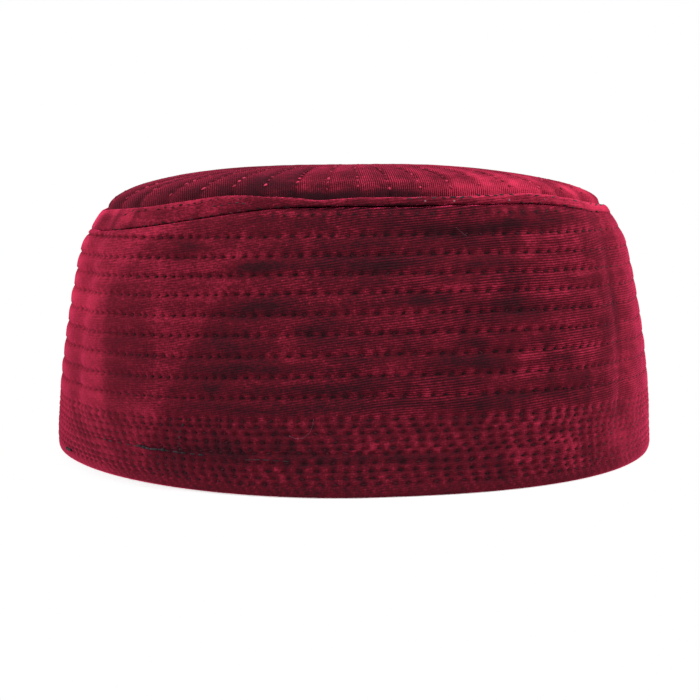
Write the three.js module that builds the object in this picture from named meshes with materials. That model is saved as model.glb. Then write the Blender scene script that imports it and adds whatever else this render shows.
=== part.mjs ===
// Quilted velvet kufi: an oval side band, a low domed crown and the welt that covers the seam between them.
// Millimetres. +Z is up, the rim lies on Z = 0, +X runs along the oval's long axis and the front faces -Y.
import * as THREE from "three";

const { clamp, degToRad, lerp, smoothstep } = THREE.MathUtils;

// Driving sizes
const RIM_HALF_LENGTH = 100;
const RIM_HALF_WIDTH = 82;
const BAND_HEIGHT = 80;
const CROWN_HEIGHT = 91.8;
const CLOTH = 2.8;
const CROWN_CLOTH = 2.2;
const SEWN_GAP = 0.3;

// How far the wall leans in from the rim to the crown seam: a straight part and one that grows with height
const LEAN = { straight: 12.2, curved: 6.3 };

// The ends round over towards the crown by this much more, between these heights
const SHOULDER = { from: 66, to: 89, depth: 7.0 };

// The oval is nearly an ellipse at the rim. At the crown seam its front is pressed flat, with rounded corners.
// Power 2 is an ellipse, and a higher one is a fuller corner.
const OVAL = {
  frontLeft: { rim: 1.86, seam: 4.7 },
  frontRight: { rim: 2.46, seam: 4.7 },
  backLeft: { rim: 1.95, seam: 3.1 },
  backRight: { rim: 2.2, seam: 3.1 },
};

const COLUMNS = 60;
// The crown has two columns for each of its sewn spokes
const SPOKES = 52;

// Sewn rows round the band, from the top down, and how deep each one pulls the cloth in
const WIDE_ROWS = [
  { height: 72.0, sink: 0.5 },
  { height: 66.6, sink: 0.5 },
  { height: 61.4, sink: 0.5 },
  { height: 56.2, sink: 0.5 },
  { height: 50.6, sink: 0.5 },
  { height: 45.1, sink: 0.5 },
  { height: 39.3, sink: 0.5 },
  { height: 33.5, sink: 0.5 },
  { height: 28.0, sink: 0.4 },
];
const CLOSE_ROWS = { count: 10, top: 21.6, bottom: 4.0, sink: 0.25 };
const WIDE_PUFF = 0.25;
const HEM = { foot: 0.3, innerFoot: 0.9, bulge: 0.25, bulgeHeight: 1.6 };

// Heights of the rings on the plain inner face, from the top down
const INNER_RINGS = [64, 46, 28, 10, 3];

// Standing folds where the band turns its corners: a line of dents from the top down to the bottom height
const FOLDS = [
  { topTurn: -138, bottomTurn: -146, top: 84, bottom: 22, halfWidth: 6, depth: 1.0 },
  { topTurn: -45, bottomTurn: -45, top: 84, bottom: 16, halfWidth: 6, depth: 0.9 },
];

// Shallow hollows in the band, each centred on a turn and a height
const HOLLOWS = [
  { turn: -70, height: 69, halfSpan: 26, halfHeight: 8, depth: 0.9 },
  { turn: -118, height: 47, halfSpan: 14, halfHeight: 16, depth: 0.6 },
];

// The seam drops towards both ends. The welt on it is narrow in the middle, wider towards the ends, and dips once.
const SEAM = {
  leftDrop: { from: 16, to: 84, depth: 7.0 },
  rightDrop: { from: 46, to: 84, depth: 4.0 },
};
const WELT = {
  middleHeight: 2.0,
  left: { from: 12, to: 46, height: 5.6 },
  right: { from: 15, to: 50, height: 2.6 },
  bulge: 0.55,
  depth: 1.15,
  dip: { at: -12, halfSpan: 7, depth: 0.4 },
};

// The crown's edge is turned down behind the welt. Its dome rises from the welt's top as (1 - s^power)^root,
// with s from 0 at the middle to 1 at the edge.
const DOME = {
  left: { power: 2.9, root: 0.49 },
  right: { power: 1.74, root: 0.51 },
  frontAndBack: { power: 5, root: 0.5 },
  setIn: 1.65,
  middlePower: 2.3,
  outerRings: [0.985, 0.94, 0.87, 0.76, 0.6, 0.4, 0.2],
  innerRings: [0.35, 0.7, 0.9],
};
const SPOKE = { sink: 0.6, longEnd: 0.2, shortEnd: 0.55, fade: 0.15 };

/** Bell-shaped weight, 1 at the centre and small past one half-width. */
function bell(distance, halfWidth) {
  return Math.exp(-2 * (distance / halfWidth) ** 2);
}

/** Point of an oval in the direction of a turn, in radians, at height z. */
function ovalPoint(turn, halfLength, halfWidth, power, z) {
  const c = Math.cos(turn);
  const s = Math.sin(turn);
  const reach = (Math.abs(c) ** power + Math.abs(s) ** power) ** (-1 / power);
  return new THREE.Vector3(halfLength * c * reach, halfWidth * s * reach, z);
}

/** The quarter of the oval that a turn lies in. */
function quarterAt(turn) {
  const end = Math.sin(turn) < 0 ? "front" : "back";
  const side = Math.cos(turn) < 0 ? "Left" : "Right";
  return OVAL[end + side];
}

/** Point of the band's outer face at a turn and height, moved outwards by out. */
function wallPoint(turn, z, out) {
  const rise = z / BAND_HEIGHT;
  const lean = LEAN.straight * rise + LEAN.curved * rise ** 2;
  const shoulder = SHOULDER.depth * Math.cos(turn) ** 2 * smoothstep(z, SHOULDER.from, SHOULDER.to);
  const quarter = quarterAt(turn);
  const power = lerp(quarter.rim, quarter.seam, clamp(rise, 0, 1));
  const moved = out - lean - shoulder;
  return ovalPoint(turn, RIM_HALF_LENGTH + moved, RIM_HALF_WIDTH + moved, power, z);
}

/** Height of the crown seam, which the welt follows. */
function seamHeight(turn) {
  const { x } = wallPoint(turn, BAND_HEIGHT, 0);
  const { leftDrop, rightDrop } = SEAM;
  const left = leftDrop.depth * smoothstep(-x, leftDrop.from, leftDrop.to);
  const right = rightDrop.depth * smoothstep(x, rightDrop.from, rightDrop.to);
  return BAND_HEIGHT - left - right;
}

/** Height of the welt above the seam. */
function weltHeight(turn) {
  const point = wallPoint(turn, BAND_HEIGHT, 0);
  const left = smoothstep(-point.x, WELT.left.from, WELT.left.to);
  const right = smoothstep(point.x, WELT.right.from, WELT.right.to);
  const side = lerp(lerp(WELT.middleHeight, WELT.left.height, left), WELT.right.height, right);
  const dip = point.y < 0 ? WELT.dip.depth * bell(point.x - WELT.dip.at, WELT.dip.halfSpan) : 0;
  return side - dip;
}

/** How far the folds and hollows push the band in at a turn and height. */
function pushedIn(turn, z) {
  const here = wallPoint(turn, z, 0);
  let depth = 0;
  for (const fold of FOLDS) {
    const down = clamp((fold.top - z) / (fold.top - fold.bottom), 0, 1);
    const line = wallPoint(degToRad(lerp(fold.topTurn, fold.bottomTurn, down)), z, 0);
    const fade = smoothstep(z, fold.bottom - 14, fold.bottom + 6);
    depth += fold.depth * fade * bell(here.distanceTo(line), fold.halfWidth);
  }
  for (const hollow of HOLLOWS) {
    const centre = wallPoint(degToRad(hollow.turn), z, 0);
    const across = bell(here.distanceTo(centre), hollow.halfSpan);
    depth += hollow.depth * across * bell(z - hollow.height, hollow.halfHeight);
  }
  return depth;
}

/** Heights and offsets of the band's outer face at a turn, from the rim to the crown seam. */
function outerProfile(turn) {
  const rows = [];
  for (let k = 0; k < CLOSE_ROWS.count; k += 1) {
    const height = lerp(CLOSE_ROWS.bottom, CLOSE_ROWS.top, k / (CLOSE_ROWS.count - 1));
    rows.push({ height, sink: CLOSE_ROWS.sink, puff: 0 });
  }
  for (const row of [...WIDE_ROWS].reverse()) {
    rows.push({ ...row, puff: WIDE_PUFF });
  }
  rows.push({ height: seamHeight(turn), sink: 0.3, puff: 0.1 });

  const profile = [
    { z: 0, out: -HEM.foot },
    { z: HEM.bulgeHeight, out: HEM.bulge },
  ];
  rows.forEach((row, k) => {
    if (k > 0) {
      profile.push({ z: (rows[k - 1].height + row.height) / 2, out: row.puff });
    }
    profile.push({ z: row.height, out: -row.sink });
  });
  return profile;
}

/** The band's closed section at a turn: up the quilted face, over the top and down the plain inside. */
function bandSection(turn) {
  const outside = outerProfile(turn).map(({ z, out }) => wallPoint(turn, z, out - pushedIn(turn, z)));
  const inside = [seamHeight(turn), ...INNER_RINGS].map((z) => wallPoint(turn, z, -CLOTH - pushedIn(turn, z)));
  return [...outside, ...inside, wallPoint(turn, 0, HEM.innerFoot - CLOTH)];
}

/** The welt's closed section at a turn: a rounded fold of cloth that stands on the outer part of the band's top. */
function weltSection(turn) {
  const base = seamHeight(turn) + SEWN_GAP;
  const height = weltHeight(turn);
  const { bulge, depth } = WELT;
  const fold = [
    { up: 0, out: 0.1 },
    { up: 0.3, out: bulge },
    { up: 0.72, out: bulge },
    { up: 0.96, out: 0.15 },
    { up: 1, out: -0.4 },
    { up: 0.8, out: -depth },
    { up: 0, out: -depth },
  ];
  return fold.map(({ up, out }) => {
    const z = base + up * height;
    return wallPoint(turn, z, out - pushedIn(turn, z));
  });
}

/** How deep the spoke stitching pulls the crown in, for an odd column at s. */
function spokeSink(column, s) {
  if (column % 2 === 0) {
    return 0;
  }
  const end = (column - 1) % 4 === 0 ? SPOKE.longEnd : SPOKE.shortEnd;
  return SPOKE.sink * smoothstep(s, end, end + SPOKE.fade);
}

/** Point of the crown's upright edge at a height, moved in from its outer face by depth. */
function crownEdge(turn, z, depth) {
  return wallPoint(turn, z, -DOME.setIn - depth - pushedIn(turn, z));
}

/** Point of the dome at s from the middle, moved in from its outer face by depth. */
function domePoint(turn, s, depth) {
  const spring = seamHeight(turn) + SEWN_GAP + weltHeight(turn);
  const rim = crownEdge(turn, spring, depth);
  const leftness = (1 - Math.cos(turn)) / 2;
  const sideness = Math.sin(turn) ** 4;
  const power = lerp(lerp(DOME.right.power, DOME.left.power, leftness), DOME.frontAndBack.power, sideness);
  const root = lerp(lerp(DOME.right.root, DOME.left.root, leftness), DOME.frontAndBack.root, sideness);
  const rise = (1 - s ** power) ** root;
  const { seam } = quarterAt(turn);
  const oval = lerp(DOME.middlePower, seam, s ** 2);
  const plan = ovalPoint(turn, 1, 1, oval, 0).length() / ovalPoint(turn, 1, 1, seam, 0).length();
  return new THREE.Vector3(rim.x * s * plan, rim.y * s * plan, lerp(spring, CROWN_HEIGHT - depth, rise));
}

/** The crown's section at a column: out along the plain inside, round the edge and back over the quilted face. */
function crownSection(column) {
  const turn = (Math.PI * column) / SPOKES;
  const foot = seamHeight(turn) + SEWN_GAP;
  const edgeSink = spokeSink(column, 1);
  return [
    ...[...DOME.innerRings, 1].map((s) => domePoint(turn, s, CROWN_CLOTH)),
    crownEdge(turn, foot, CROWN_CLOTH),
    crownEdge(turn, foot, edgeSink),
    ...[1, ...DOME.outerRings].map((s) => domePoint(turn, s, spokeSink(column, s))),
  ];
}

/** Triangles between neighbouring sections of equal length. Closed sections join their last point to their first. */
function skin(sections, closed) {
  const count = sections[0].length;
  const positions = sections.flat().flatMap((point) => point.toArray());
  const triangles = [];
  sections.forEach((_, k) => {
    const here = k * count;
    const next = ((k + 1) % sections.length) * count;
    const spans = closed ? count : count - 1;
    for (let i = 0; i < spans; i += 1) {
      const j = (i + 1) % count;
      triangles.push(here + i, next + i, next + j, here + i, next + j, here + j);
    }
  });
  return { positions, triangles };
}

/** Adds a fan of triangles from one end of every open section to a pole. */
function addPole(shell, sections, index, pole, facesUp) {
  const count = sections[0].length;
  const centre = shell.positions.length / 3;
  shell.positions.push(...pole.toArray());
  sections.forEach((_, k) => {
    const here = k * count + index;
    const next = ((k + 1) % sections.length) * count + index;
    shell.triangles.push(...(facesUp ? [here, next, centre] : [next, here, centre]));
  });
}

/** A shell as a geometry with its normals. */
function geometryOf({ positions, triangles }) {
  const geometry = new THREE.BufferGeometry();
  geometry.setAttribute("position", new THREE.Float32BufferAttribute(positions, 3));
  geometry.setIndex(triangles);
  geometry.computeVertexNormals();
  return geometry;
}

/** Closed ring whose section is given for each turn. */
function ringGeometry(sectionAt) {
  const sections = Array.from({ length: COLUMNS }, (_, k) => sectionAt((2 * Math.PI * k) / COLUMNS));
  return geometryOf(skin(sections, true));
}

/** Closed dome of the crown, with a pole at the middle of each face. */
function crownGeometry() {
  const sections = Array.from({ length: 2 * SPOKES }, (_, column) => crownSection(column));
  const shell = skin(sections, false);
  addPole(shell, sections, 0, new THREE.Vector3(0, 0, CROWN_HEIGHT - CROWN_CLOTH), false);
  addPole(shell, sections, sections[0].length - 1, new THREE.Vector3(0, 0, CROWN_HEIGHT), true);
  return geometryOf(shell);
}

/** A named piece of velvet. */
function velvetPiece(name, geometry, color) {
  const material = new THREE.MeshStandardMaterial({ color, roughness: 0.9, metalness: 0 });
  const mesh = new THREE.Mesh(geometry, material);
  mesh.name = name;
  return mesh;
}

const kufi = new THREE.Group();
kufi.add(velvetPiece("side_band", ringGeometry(bandSection), 0x6d0f26));
kufi.add(velvetPiece("seam_welt", ringGeometry(weltSection), 0x7a1230));
kufi.add(velvetPiece("crown", crownGeometry(), 0x7d1230));

export default kufi;
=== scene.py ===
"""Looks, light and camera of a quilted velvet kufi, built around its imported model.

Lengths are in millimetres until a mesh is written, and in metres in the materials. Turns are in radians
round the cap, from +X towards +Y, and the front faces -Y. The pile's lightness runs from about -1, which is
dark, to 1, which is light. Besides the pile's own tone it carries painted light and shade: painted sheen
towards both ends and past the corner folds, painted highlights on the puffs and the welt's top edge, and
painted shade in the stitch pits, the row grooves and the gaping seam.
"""

import logging
import math
from collections.abc import Callable
from dataclasses import dataclass, field, replace
from enum import Enum
from typing import Any

import bmesh
import bpy
import numpy as np
from mathutils import Matrix, Vector


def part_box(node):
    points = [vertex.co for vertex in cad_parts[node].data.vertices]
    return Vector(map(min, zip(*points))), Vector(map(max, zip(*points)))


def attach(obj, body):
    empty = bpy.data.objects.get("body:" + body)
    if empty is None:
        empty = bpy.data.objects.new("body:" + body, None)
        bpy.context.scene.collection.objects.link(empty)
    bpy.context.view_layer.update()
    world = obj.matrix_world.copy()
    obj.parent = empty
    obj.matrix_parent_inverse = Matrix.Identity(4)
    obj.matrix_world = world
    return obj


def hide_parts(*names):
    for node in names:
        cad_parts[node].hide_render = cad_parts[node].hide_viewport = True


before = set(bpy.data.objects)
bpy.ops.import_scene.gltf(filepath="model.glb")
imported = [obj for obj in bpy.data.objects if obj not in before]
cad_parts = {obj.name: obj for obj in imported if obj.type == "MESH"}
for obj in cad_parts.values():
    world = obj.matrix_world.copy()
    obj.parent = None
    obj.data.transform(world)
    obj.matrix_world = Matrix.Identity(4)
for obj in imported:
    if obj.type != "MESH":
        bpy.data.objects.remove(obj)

LOG = logging.getLogger("kufi")

MM = 0.001
TAU = 2 * math.pi
GIRTH = 540.0
FINE_STEPS = 2881
BODY = "root"
CLOTH_MAP = "cloth"
# Name of the mesh attribute for the pile's lightness, which also carries painted light and shade.
PILE_AND_PAINTED_LIGHT = "nap"

Array = np.ndarray
Range = tuple[float, float]
Colour = tuple[float, float, float]


def smooth(value: Array, low: float, high: float) -> Array:
    """Smooth step of a value, 0 up to low and 1 from high."""
    t = np.clip((value - low) / (high - low), 0, 1)
    return t * t * (3 - 2 * t)


def bell(distance: Array, half_width: float) -> Array:
    """Bell-shaped weight, 1 at the centre and small past one half-width."""
    return np.exp(-2 * (distance / half_width) ** 2)


def fade(distance: Array, half_width: float) -> Array:
    """Bell-shaped weight, 1 at the centre and about a third at one half-width."""
    return np.exp(-((distance / half_width) ** 2))


def mix(a: Array, b: Array, t: Array) -> Array:
    """Straight blend from a at t = 0 to b at t = 1."""
    return a + (b - a) * t


def unit(vectors: Array) -> Array:
    """Vectors at length 1."""
    return vectors / np.linalg.norm(vectors, axis=-1, keepdims=True)


def oval_reach(angle: Array, power: Array | float) -> Array:
    """Reach of an oval at each angle, a circle at a power of 2 and fuller at its corners above."""
    return (np.abs(np.cos(angle)) ** power + np.abs(np.sin(angle)) ** power) ** (-1 / power)


@dataclass(frozen=True)
class SoftNoise:
    """Smooth seeded noise on the cloth, with no step where the cloth closes round the cap.

    Attributes:
        seed: Which noise this is.
        along: Size of its lumps round the cap.
        up: Size of its lumps up the cloth.
        strength: Its greatest value.
        bands: How many lumps go up the cloth before the noise repeats.
    """

    seed: int
    along: float
    up: float
    strength: float = 1.0
    bands: int = 97

    def at(self, share: Array, height: Array | float) -> Array:
        """The noise at points of the cloth.

        Args:
            share: Way round the cap, from 0 to 1.
            height: Distance up the cloth.

        Returns:
            The noise at each point.
        """
        count = max(3, round(GIRTH / self.along))
        lattice = np.random.default_rng(self.seed).uniform(-1, 1, (self.bands, count))
        x, y = np.broadcast_arrays(share * count, height / self.up)
        column, band = np.floor(x).astype(int), np.floor(y).astype(int)
        here, after = column % count, (column + 1) % count
        fx, fy = smooth(x - column, 0, 1), smooth(y - band, 0, 1)
        below, above = band % self.bands, (band + 1) % self.bands
        low = mix(lattice[below, here], lattice[below, after], fx)
        high = mix(lattice[above, here], lattice[above, after], fx)
        return mix(low, high, fy) * self.strength


@dataclass
class Spots:
    """Places on the cloth, each with its directions along the sewing, across it and out of the cloth."""

    centre: Array
    along: Array
    across: Array
    out: Array

    def kept(self, mask: Array) -> "Spots":
        """Only the places that a mask marks."""
        return Spots(self.centre[mask], self.along[mask], self.across[mask], self.out[mask])

    def turned(self, angle: Array) -> "Spots":
        """The same places with their directions turned on the cloth by an angle each.

        Args:
            angle: The angle for each place.

        Returns:
            The turned places.
        """
        c, s = np.cos(angle)[:, None], np.sin(angle)[:, None]
        along, across = self.along * c + self.across * s, self.across * c - self.along * s
        return Spots(self.centre, along, across, self.out)


def joined(found: list[Spots]) -> Spots:
    """Many lists of places as one."""
    parts = zip(*((spots.centre, spots.along, spots.across, spots.out) for spots in found))
    return Spots(*(np.concatenate(part) for part in parts))


@dataclass(frozen=True)
class Fold:
    """A standing fold where the band turns a corner, from its top down to its bottom."""

    top_turn: float
    bottom_turn: float
    top: float
    bottom: float
    half_width: float
    depth: float
    fade: Range = (14.0, 6.0)


@dataclass(frozen=True)
class Hollow:
    """A shallow hollow in the band, centred on a turn in degrees and a height."""

    turn: float
    height: float
    half_span: float
    half_height: float
    depth: float


@dataclass(frozen=True)
class CapForm:
    """The cap's outer form: an oval wall that leans in, the seam, the welt and the low dome.

    Attributes:
        half_length: Half the rim's long axis.
        half_width: Half the rim's short axis.
        crown_height: Height of the middle of the crown.
    """

    half_length: float
    half_width: float
    crown_height: float
    band_height: float = 80.0
    middle_height: float = 40.0
    cloth: float = 2.8
    crown_cloth: float = 2.2
    sewn_gap: float = 0.3
    lean: Range = (12.2, 6.3)
    shoulder: tuple[float, float, float] = (66.0, 89.0, 7.0)
    rim_power: tuple[float, float, float, float] = (1.86, 2.46, 1.95, 2.2)
    seam_power: Range = (4.7, 3.1)
    left_drop: tuple[float, float, float] = (16.0, 84.0, 7.0)
    right_drop: tuple[float, float, float] = (46.0, 84.0, 4.0)
    welt_middle: float = 2.0
    welt_left: tuple[float, float, float] = (12.0, 46.0, 5.6)
    welt_right: tuple[float, float, float] = (15.0, 50.0, 2.6)
    welt_dip: tuple[float, float, float] = (-12.0, 7.0, 0.4)
    set_in: float = 1.65
    dome_power: Range = (2.9, 1.74)
    dome_root: Range = (0.49, 0.51)
    dome_front_and_back: Range = (5.0, 0.5)
    middle_power: float = 2.3
    folds: tuple[Fold, ...] = (
        Fold(-138, -146, 84, 22, 6, 1.0),
        Fold(-45, -45, 84, 16, 6, 0.9),
    )
    hollows: tuple[Hollow, ...] = (
        Hollow(-70, 69, 26, 8, 0.9),
        Hollow(-118, 47, 14, 16, 0.6),
    )
    tight_end: Range = (60.0, 80.0)
    left_tightness: float = 0.25
    hidden_slack: float = 0.7
    hidden_end: Range = (-16.0, 4.0)
    left_part: Range = (-45.0, -10.0)
    gap_start: Range = (-27.0, -18.0)
    gap_end: Range = (14.0, 25.0)

    def powers(self, turn: Array) -> tuple[Array, Array]:
        """How full the oval is at the rim and at the seam, in the quarter that each turn lies in.

        Args:
            turn: Turns round the cap.

        Returns:
            The power at the rim and the power at the seam, 2 for an ellipse.
        """
        front = np.sin(turn) < 0
        left = np.cos(turn) < 0
        front_left, front_right, back_left, back_right = self.rim_power
        rim = np.where(front, np.where(left, front_left, front_right), np.where(left, back_left, back_right))
        return rim, np.where(front, *self.seam_power)

    def wall(self, turn: Array, z: Array | float, out: Array | float = 0.0) -> Array:
        """Points of the band's outer face.

        Args:
            turn: Turns round the cap.
            z: Heights.
            out: How far each point is moved outwards.

        Returns:
            The points, with x, y and z on the last axis.
        """
        turn, z, out = np.broadcast_arrays(turn, z, out)
        c, s = np.cos(turn), np.sin(turn)
        rise = z / self.band_height
        start, end, depth = self.shoulder
        inset = self.lean[0] * rise + self.lean[1] * rise**2 + depth * c**2 * smooth(z, start, end)
        power = mix(*self.powers(turn), np.clip(rise, 0, 1))
        reach = oval_reach(turn, power)
        moved = out - inset
        x = (self.half_length + moved) * c * reach
        y = (self.half_width + moved) * s * reach
        return np.stack([x, y, z], -1)

    def plan(self, turn: Array, z: Array | float) -> tuple[Array, Array]:
        """X and Y of the band's outer face at a height."""
        points = self.wall(turn, z)
        return points[..., 0], points[..., 1]

    def spots(self, turn: Array, z: Array, out: Array) -> Spots:
        """Places on the band, with their directions round the cap, up the wall and out of it.

        Args:
            turn: Turns round the cap.
            z: Heights.
            out: How far each place is moved outwards.

        Returns:
            The places.
        """
        along = unit(self.wall(turn + 0.01, z, out) - self.wall(turn - 0.01, z, out))
        across = unit(self.wall(turn, z + 0.5, out) - self.wall(turn, z - 0.5, out))
        return Spots(self.wall(turn, z, out), along, across, np.cross(along, across))

    def seam(self, turn: Array) -> Array:
        """Height of the crown seam, which drops towards both ends of the cap.

        Args:
            turn: Turns round the cap.

        Returns:
            The height at each turn.
        """
        x = self.plan(turn, self.band_height)[0]
        left = self.left_drop[2] * smooth(-x, *self.left_drop[:2])
        right = self.right_drop[2] * smooth(x, *self.right_drop[:2])
        return self.band_height - left - right

    def welt(self, turn: Array) -> Array:
        """Height of the welt above the seam.

        Args:
            turn: Turns round the cap.

        Returns:
            The height at each turn.
        """
        x, y = self.plan(turn, self.band_height)
        left = smooth(-x, *self.welt_left[:2])
        right = smooth(x, *self.welt_right[:2])
        side = mix(mix(self.welt_middle, self.welt_left[2], left), self.welt_right[2], right)
        at, half_span, depth = self.welt_dip
        return side - np.where(y < 0, depth * bell(x - at, half_span), 0)

    def pushed_in(self, turn: Array, z: Array) -> Array:
        """How far the folds and hollows push the band in at each turn and height.

        Args:
            turn: Turns round the cap.
            z: Heights.

        Returns:
            The depth at each point.
        """
        here = self.wall(turn, z)
        z = here[..., 2]
        depth = np.zeros(z.shape)
        for fold in self.folds:
            down = np.clip((fold.top - z) / (fold.top - fold.bottom), 0, 1)
            line = self.wall(np.radians(mix(fold.top_turn, fold.bottom_turn, down)), z)
            below, above = fold.fade
            shown_part = smooth(z, fold.bottom - below, fold.bottom + above)
            depth += fold.depth * shown_part * bell(np.linalg.norm(here - line, axis=-1), fold.half_width)
        for hollow in self.hollows:
            centre = self.wall(math.radians(hollow.turn), z)
            across = bell(np.linalg.norm(here - centre, axis=-1), hollow.half_span)
            depth += hollow.depth * across * bell(z - hollow.height, hollow.half_height)
        return depth

    def crown_edge(self, turn: Array, z: Array, depth: float) -> Array:
        """Points of the crown's upright edge, moved in from its outer face by a depth."""
        return self.wall(turn, z, -self.set_in - depth - self.pushed_in(turn, z))

    def dome(self, turn: Array, s: Array | float, depth: Array | float) -> Array:
        """Points of the dome.

        Args:
            turn: Turns round the cap.
            s: How far out each point lies, from 0 in the middle to 1 at the edge.
            depth: How far each point is moved in.

        Returns:
            The points, with x, y and z on the last axis.
        """
        spring = self.seam(turn) + self.sewn_gap + self.welt(turn)
        rim = self.crown_edge(turn, spring, depth)
        leftness = (1 - np.cos(turn)) / 2
        sideness = np.sin(turn) ** 4
        power, root = (
            mix(mix(side[1], side[0], leftness), middle, sideness)
            for side, middle in zip((self.dome_power, self.dome_root), self.dome_front_and_back)
        )
        rise = (1 - s**power) ** root
        seam = self.powers(turn)[1]
        oval = mix(self.middle_power, seam, s**2)
        plan = oval_reach(turn, oval) / oval_reach(turn, seam)
        z = mix(spring, self.crown_height - depth, rise)
        return np.stack([rim[..., 0] * s * plan, rim[..., 1] * s * plan, z], -1)

    def shares(self, turn: Array, z: float) -> Array:
        """Way round the cap at a height, from 0 to 1.

        Args:
            turn: Turns, from 0 to a whole turn.
            z: The height.

        Returns:
            The way round at each turn.
        """
        fine = np.linspace(0, TAU, FINE_STEPS)
        steps = np.linalg.norm(np.diff(self.wall(fine, z), axis=0), axis=-1)
        walked = np.concatenate([[0.0], np.cumsum(steps)])
        return np.interp(turn, fine, walked / walked[-1])

    def turns(self, share: Array, z: float) -> Array:
        """Turns at given ways round the cap at a height."""
        fine = np.linspace(0, TAU, FINE_STEPS)
        return np.interp(share, self.shares(fine, z), fine)

    def tightness(self, turn: Array) -> Array:
        """How tight the band is pulled: 1 at the front of the right end, less at the left, else 0.

        Args:
            turn: Turns round the cap.

        Returns:
            The tightness at each turn.
        """
        x, y = self.plan(turn, self.middle_height)
        right = smooth(x, *self.tight_end) * (1 - self.hidden_slack * smooth(y, *self.hidden_end))
        return right + self.left_tightness * smooth(-x, *self.tight_end)

    def leftness(self, turn: Array) -> Array:
        """1 on the left, where the welt is wide, and 0 from just left of the middle on."""
        return 1 - smooth(self.plan(turn, self.band_height)[0], *self.left_part)

    def gaping(self, turn: Array) -> Array:
        """1 along the middle of the front, where the crown seam gapes, 0 elsewhere."""
        x = self.plan(turn, self.band_height)[0]
        return smooth(x, *self.gap_start) * (1 - smooth(x, *self.gap_end)) * (np.sin(turn) < 0)


@dataclass
class Shell:
    """Layers of a closed cloth shell, each one a ring of points round the cap.

    Attributes:
        points: Points in mm, by layer and column.
        nap: Lightness of the pile with painted light and shade added in, by layer and column.
        across: Place across the cloth's ribs in mm, by layer and column.
    """

    points: Array
    nap: Array
    across: Array

    def build(self, name: str) -> bpy.types.Object:
        """Rolls a grid into the shell and closes it.

        Args:
            name: The piece's name.

        Returns:
            The piece, a closed mesh with its faces pointing out.
        """
        layers, columns = self.points.shape[:2]
        bm = bmesh.new()
        bm.loops.layers.uv.new(CLOTH_MAP)
        bmesh.ops.create_grid(bm, x_segments=columns - 1, y_segments=layers - 1, size=0.5, calc_uvs=True)
        mesh = bpy.data.meshes.new(name)
        bm.to_mesh(mesh)
        bm.free()
        corners = np.empty(len(mesh.loops), np.int32)
        mesh.loops.foreach_get("vertex_index", corners)
        mesh.vertices.foreach_set("co", (self.points * MM).astype(np.float32).ravel())
        along = np.broadcast_to(np.linspace(0, GIRTH, columns), self.across.shape)
        places = np.stack([along, self.across], -1).reshape(-1, 2)[corners] * MM
        mesh.uv_layers[CLOTH_MAP].data.foreach_set("uv", places.astype(np.float32).ravel())
        carry_pile_and_painted_light(mesh, self.nap)
        weld(mesh)
        return shown(name, mesh)


@dataclass
class Layers:
    """Layers of a shell while made, each with a height, an outward move and a pile lightness with painted
    light.

    Attributes:
        columns: How many points each layer has.
        found: The layers so far.
    """

    columns: int
    found: list[Array] = field(default_factory=list)

    def add(self, z: Array | float, out: Array | float = 0.0, nap: Array | float = 0.0) -> None:
        """Adds one layer."""
        self.found.append(np.stack([np.broadcast_to(value, self.columns) for value in (z, out, nap)]))


def carry_pile_and_painted_light(mesh: bpy.types.Mesh, nap: Array) -> None:
    """Gives a mesh the lightness of its pile, with painted light and shade added, point by point."""
    mesh.attributes.new(PILE_AND_PAINTED_LIGHT, "FLOAT", "POINT").data.foreach_set("value", nap.astype(np.float32).ravel())


def weld(mesh: bpy.types.Mesh) -> None:
    """Merges a mesh's doubled points, turns its faces outwards and shades it smooth.

    Args:
        mesh: The mesh, changed in place.
    """
    bm = bmesh.new()
    bm.from_mesh(mesh)
    bmesh.ops.remove_doubles(bm, verts=bm.verts, dist=1e-6)
    bmesh.ops.recalc_face_normals(bm, faces=bm.faces)
    for face in bm.faces:
        face.smooth = True
    bm.to_mesh(mesh)
    bm.free()


def shown(name: str, data: Any) -> bpy.types.Object:
    """A new object of a mesh, lamp or camera in the scene.

    Args:
        name: The object's name.
        data: Its mesh, lamp or camera.

    Returns:
        The object.
    """
    piece = bpy.data.objects.new(name, data)
    bpy.context.scene.collection.objects.link(piece)
    return piece


def copies(template: bpy.types.Mesh, count: int) -> bpy.types.Mesh:
    """Joins many copies of one small mesh, in order and all in one place.

    Args:
        template: The mesh to repeat.
        count: How many copies there are.

    Returns:
        The joined mesh, with each copy's points after the last one's.
    """
    carrier = shown("carrier", template)
    repeat = carrier.modifiers.new("repeat", "ARRAY")
    repeat.count = count
    repeat.use_relative_offset = False
    repeat.use_constant_offset = True
    repeat.constant_offset_displace = (0, 0, 0)
    together = bpy.data.meshes.new_from_object(carrier.evaluated_get(bpy.context.evaluated_depsgraph_get()))
    bpy.data.objects.remove(carrier)
    return together


def thread_knots(name: str, spots: Spots, half_size: Array, pile: Array) -> bpy.types.Object:
    """Short rounded lengths of thread, one at each spot.

    Args:
        name: The piece's name.
        spots: Where the lengths of thread lie.
        half_size: Their half sizes along, across and out, by spot.
        pile: Their lightness, by spot.

    Returns:
        The piece, one joined mesh.
    """
    bm = bmesh.new()
    lying = Matrix.Rotation(math.pi / 2, 4, "Y")
    bmesh.ops.create_uvsphere(bm, u_segments=6, v_segments=4, radius=1, matrix=lying)
    for face in bm.faces:
        face.smooth = True
    template = bpy.data.meshes.new(name + "_one")
    bm.to_mesh(template)
    bm.free()
    size = len(template.vertices)
    local = np.empty(size * 3)
    template.vertices.foreach_get("co", local)
    local = local.reshape(1, size, 3) * half_size[:, None, :]
    placed = spots.centre[:, None, :] + local[..., :1] * spots.along[:, None, :]
    placed = placed + local[..., 1:2] * spots.across[:, None, :] + local[..., 2:] * spots.out[:, None, :]
    mesh = copies(template, len(spots.centre))
    mesh.name = name
    mesh.vertices.foreach_set("co", (placed * MM).astype(np.float32).ravel())
    carry_pile_and_painted_light(mesh, np.repeat(pile, size))
    bpy.data.meshes.remove(template)
    return shown(name, mesh)


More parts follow.
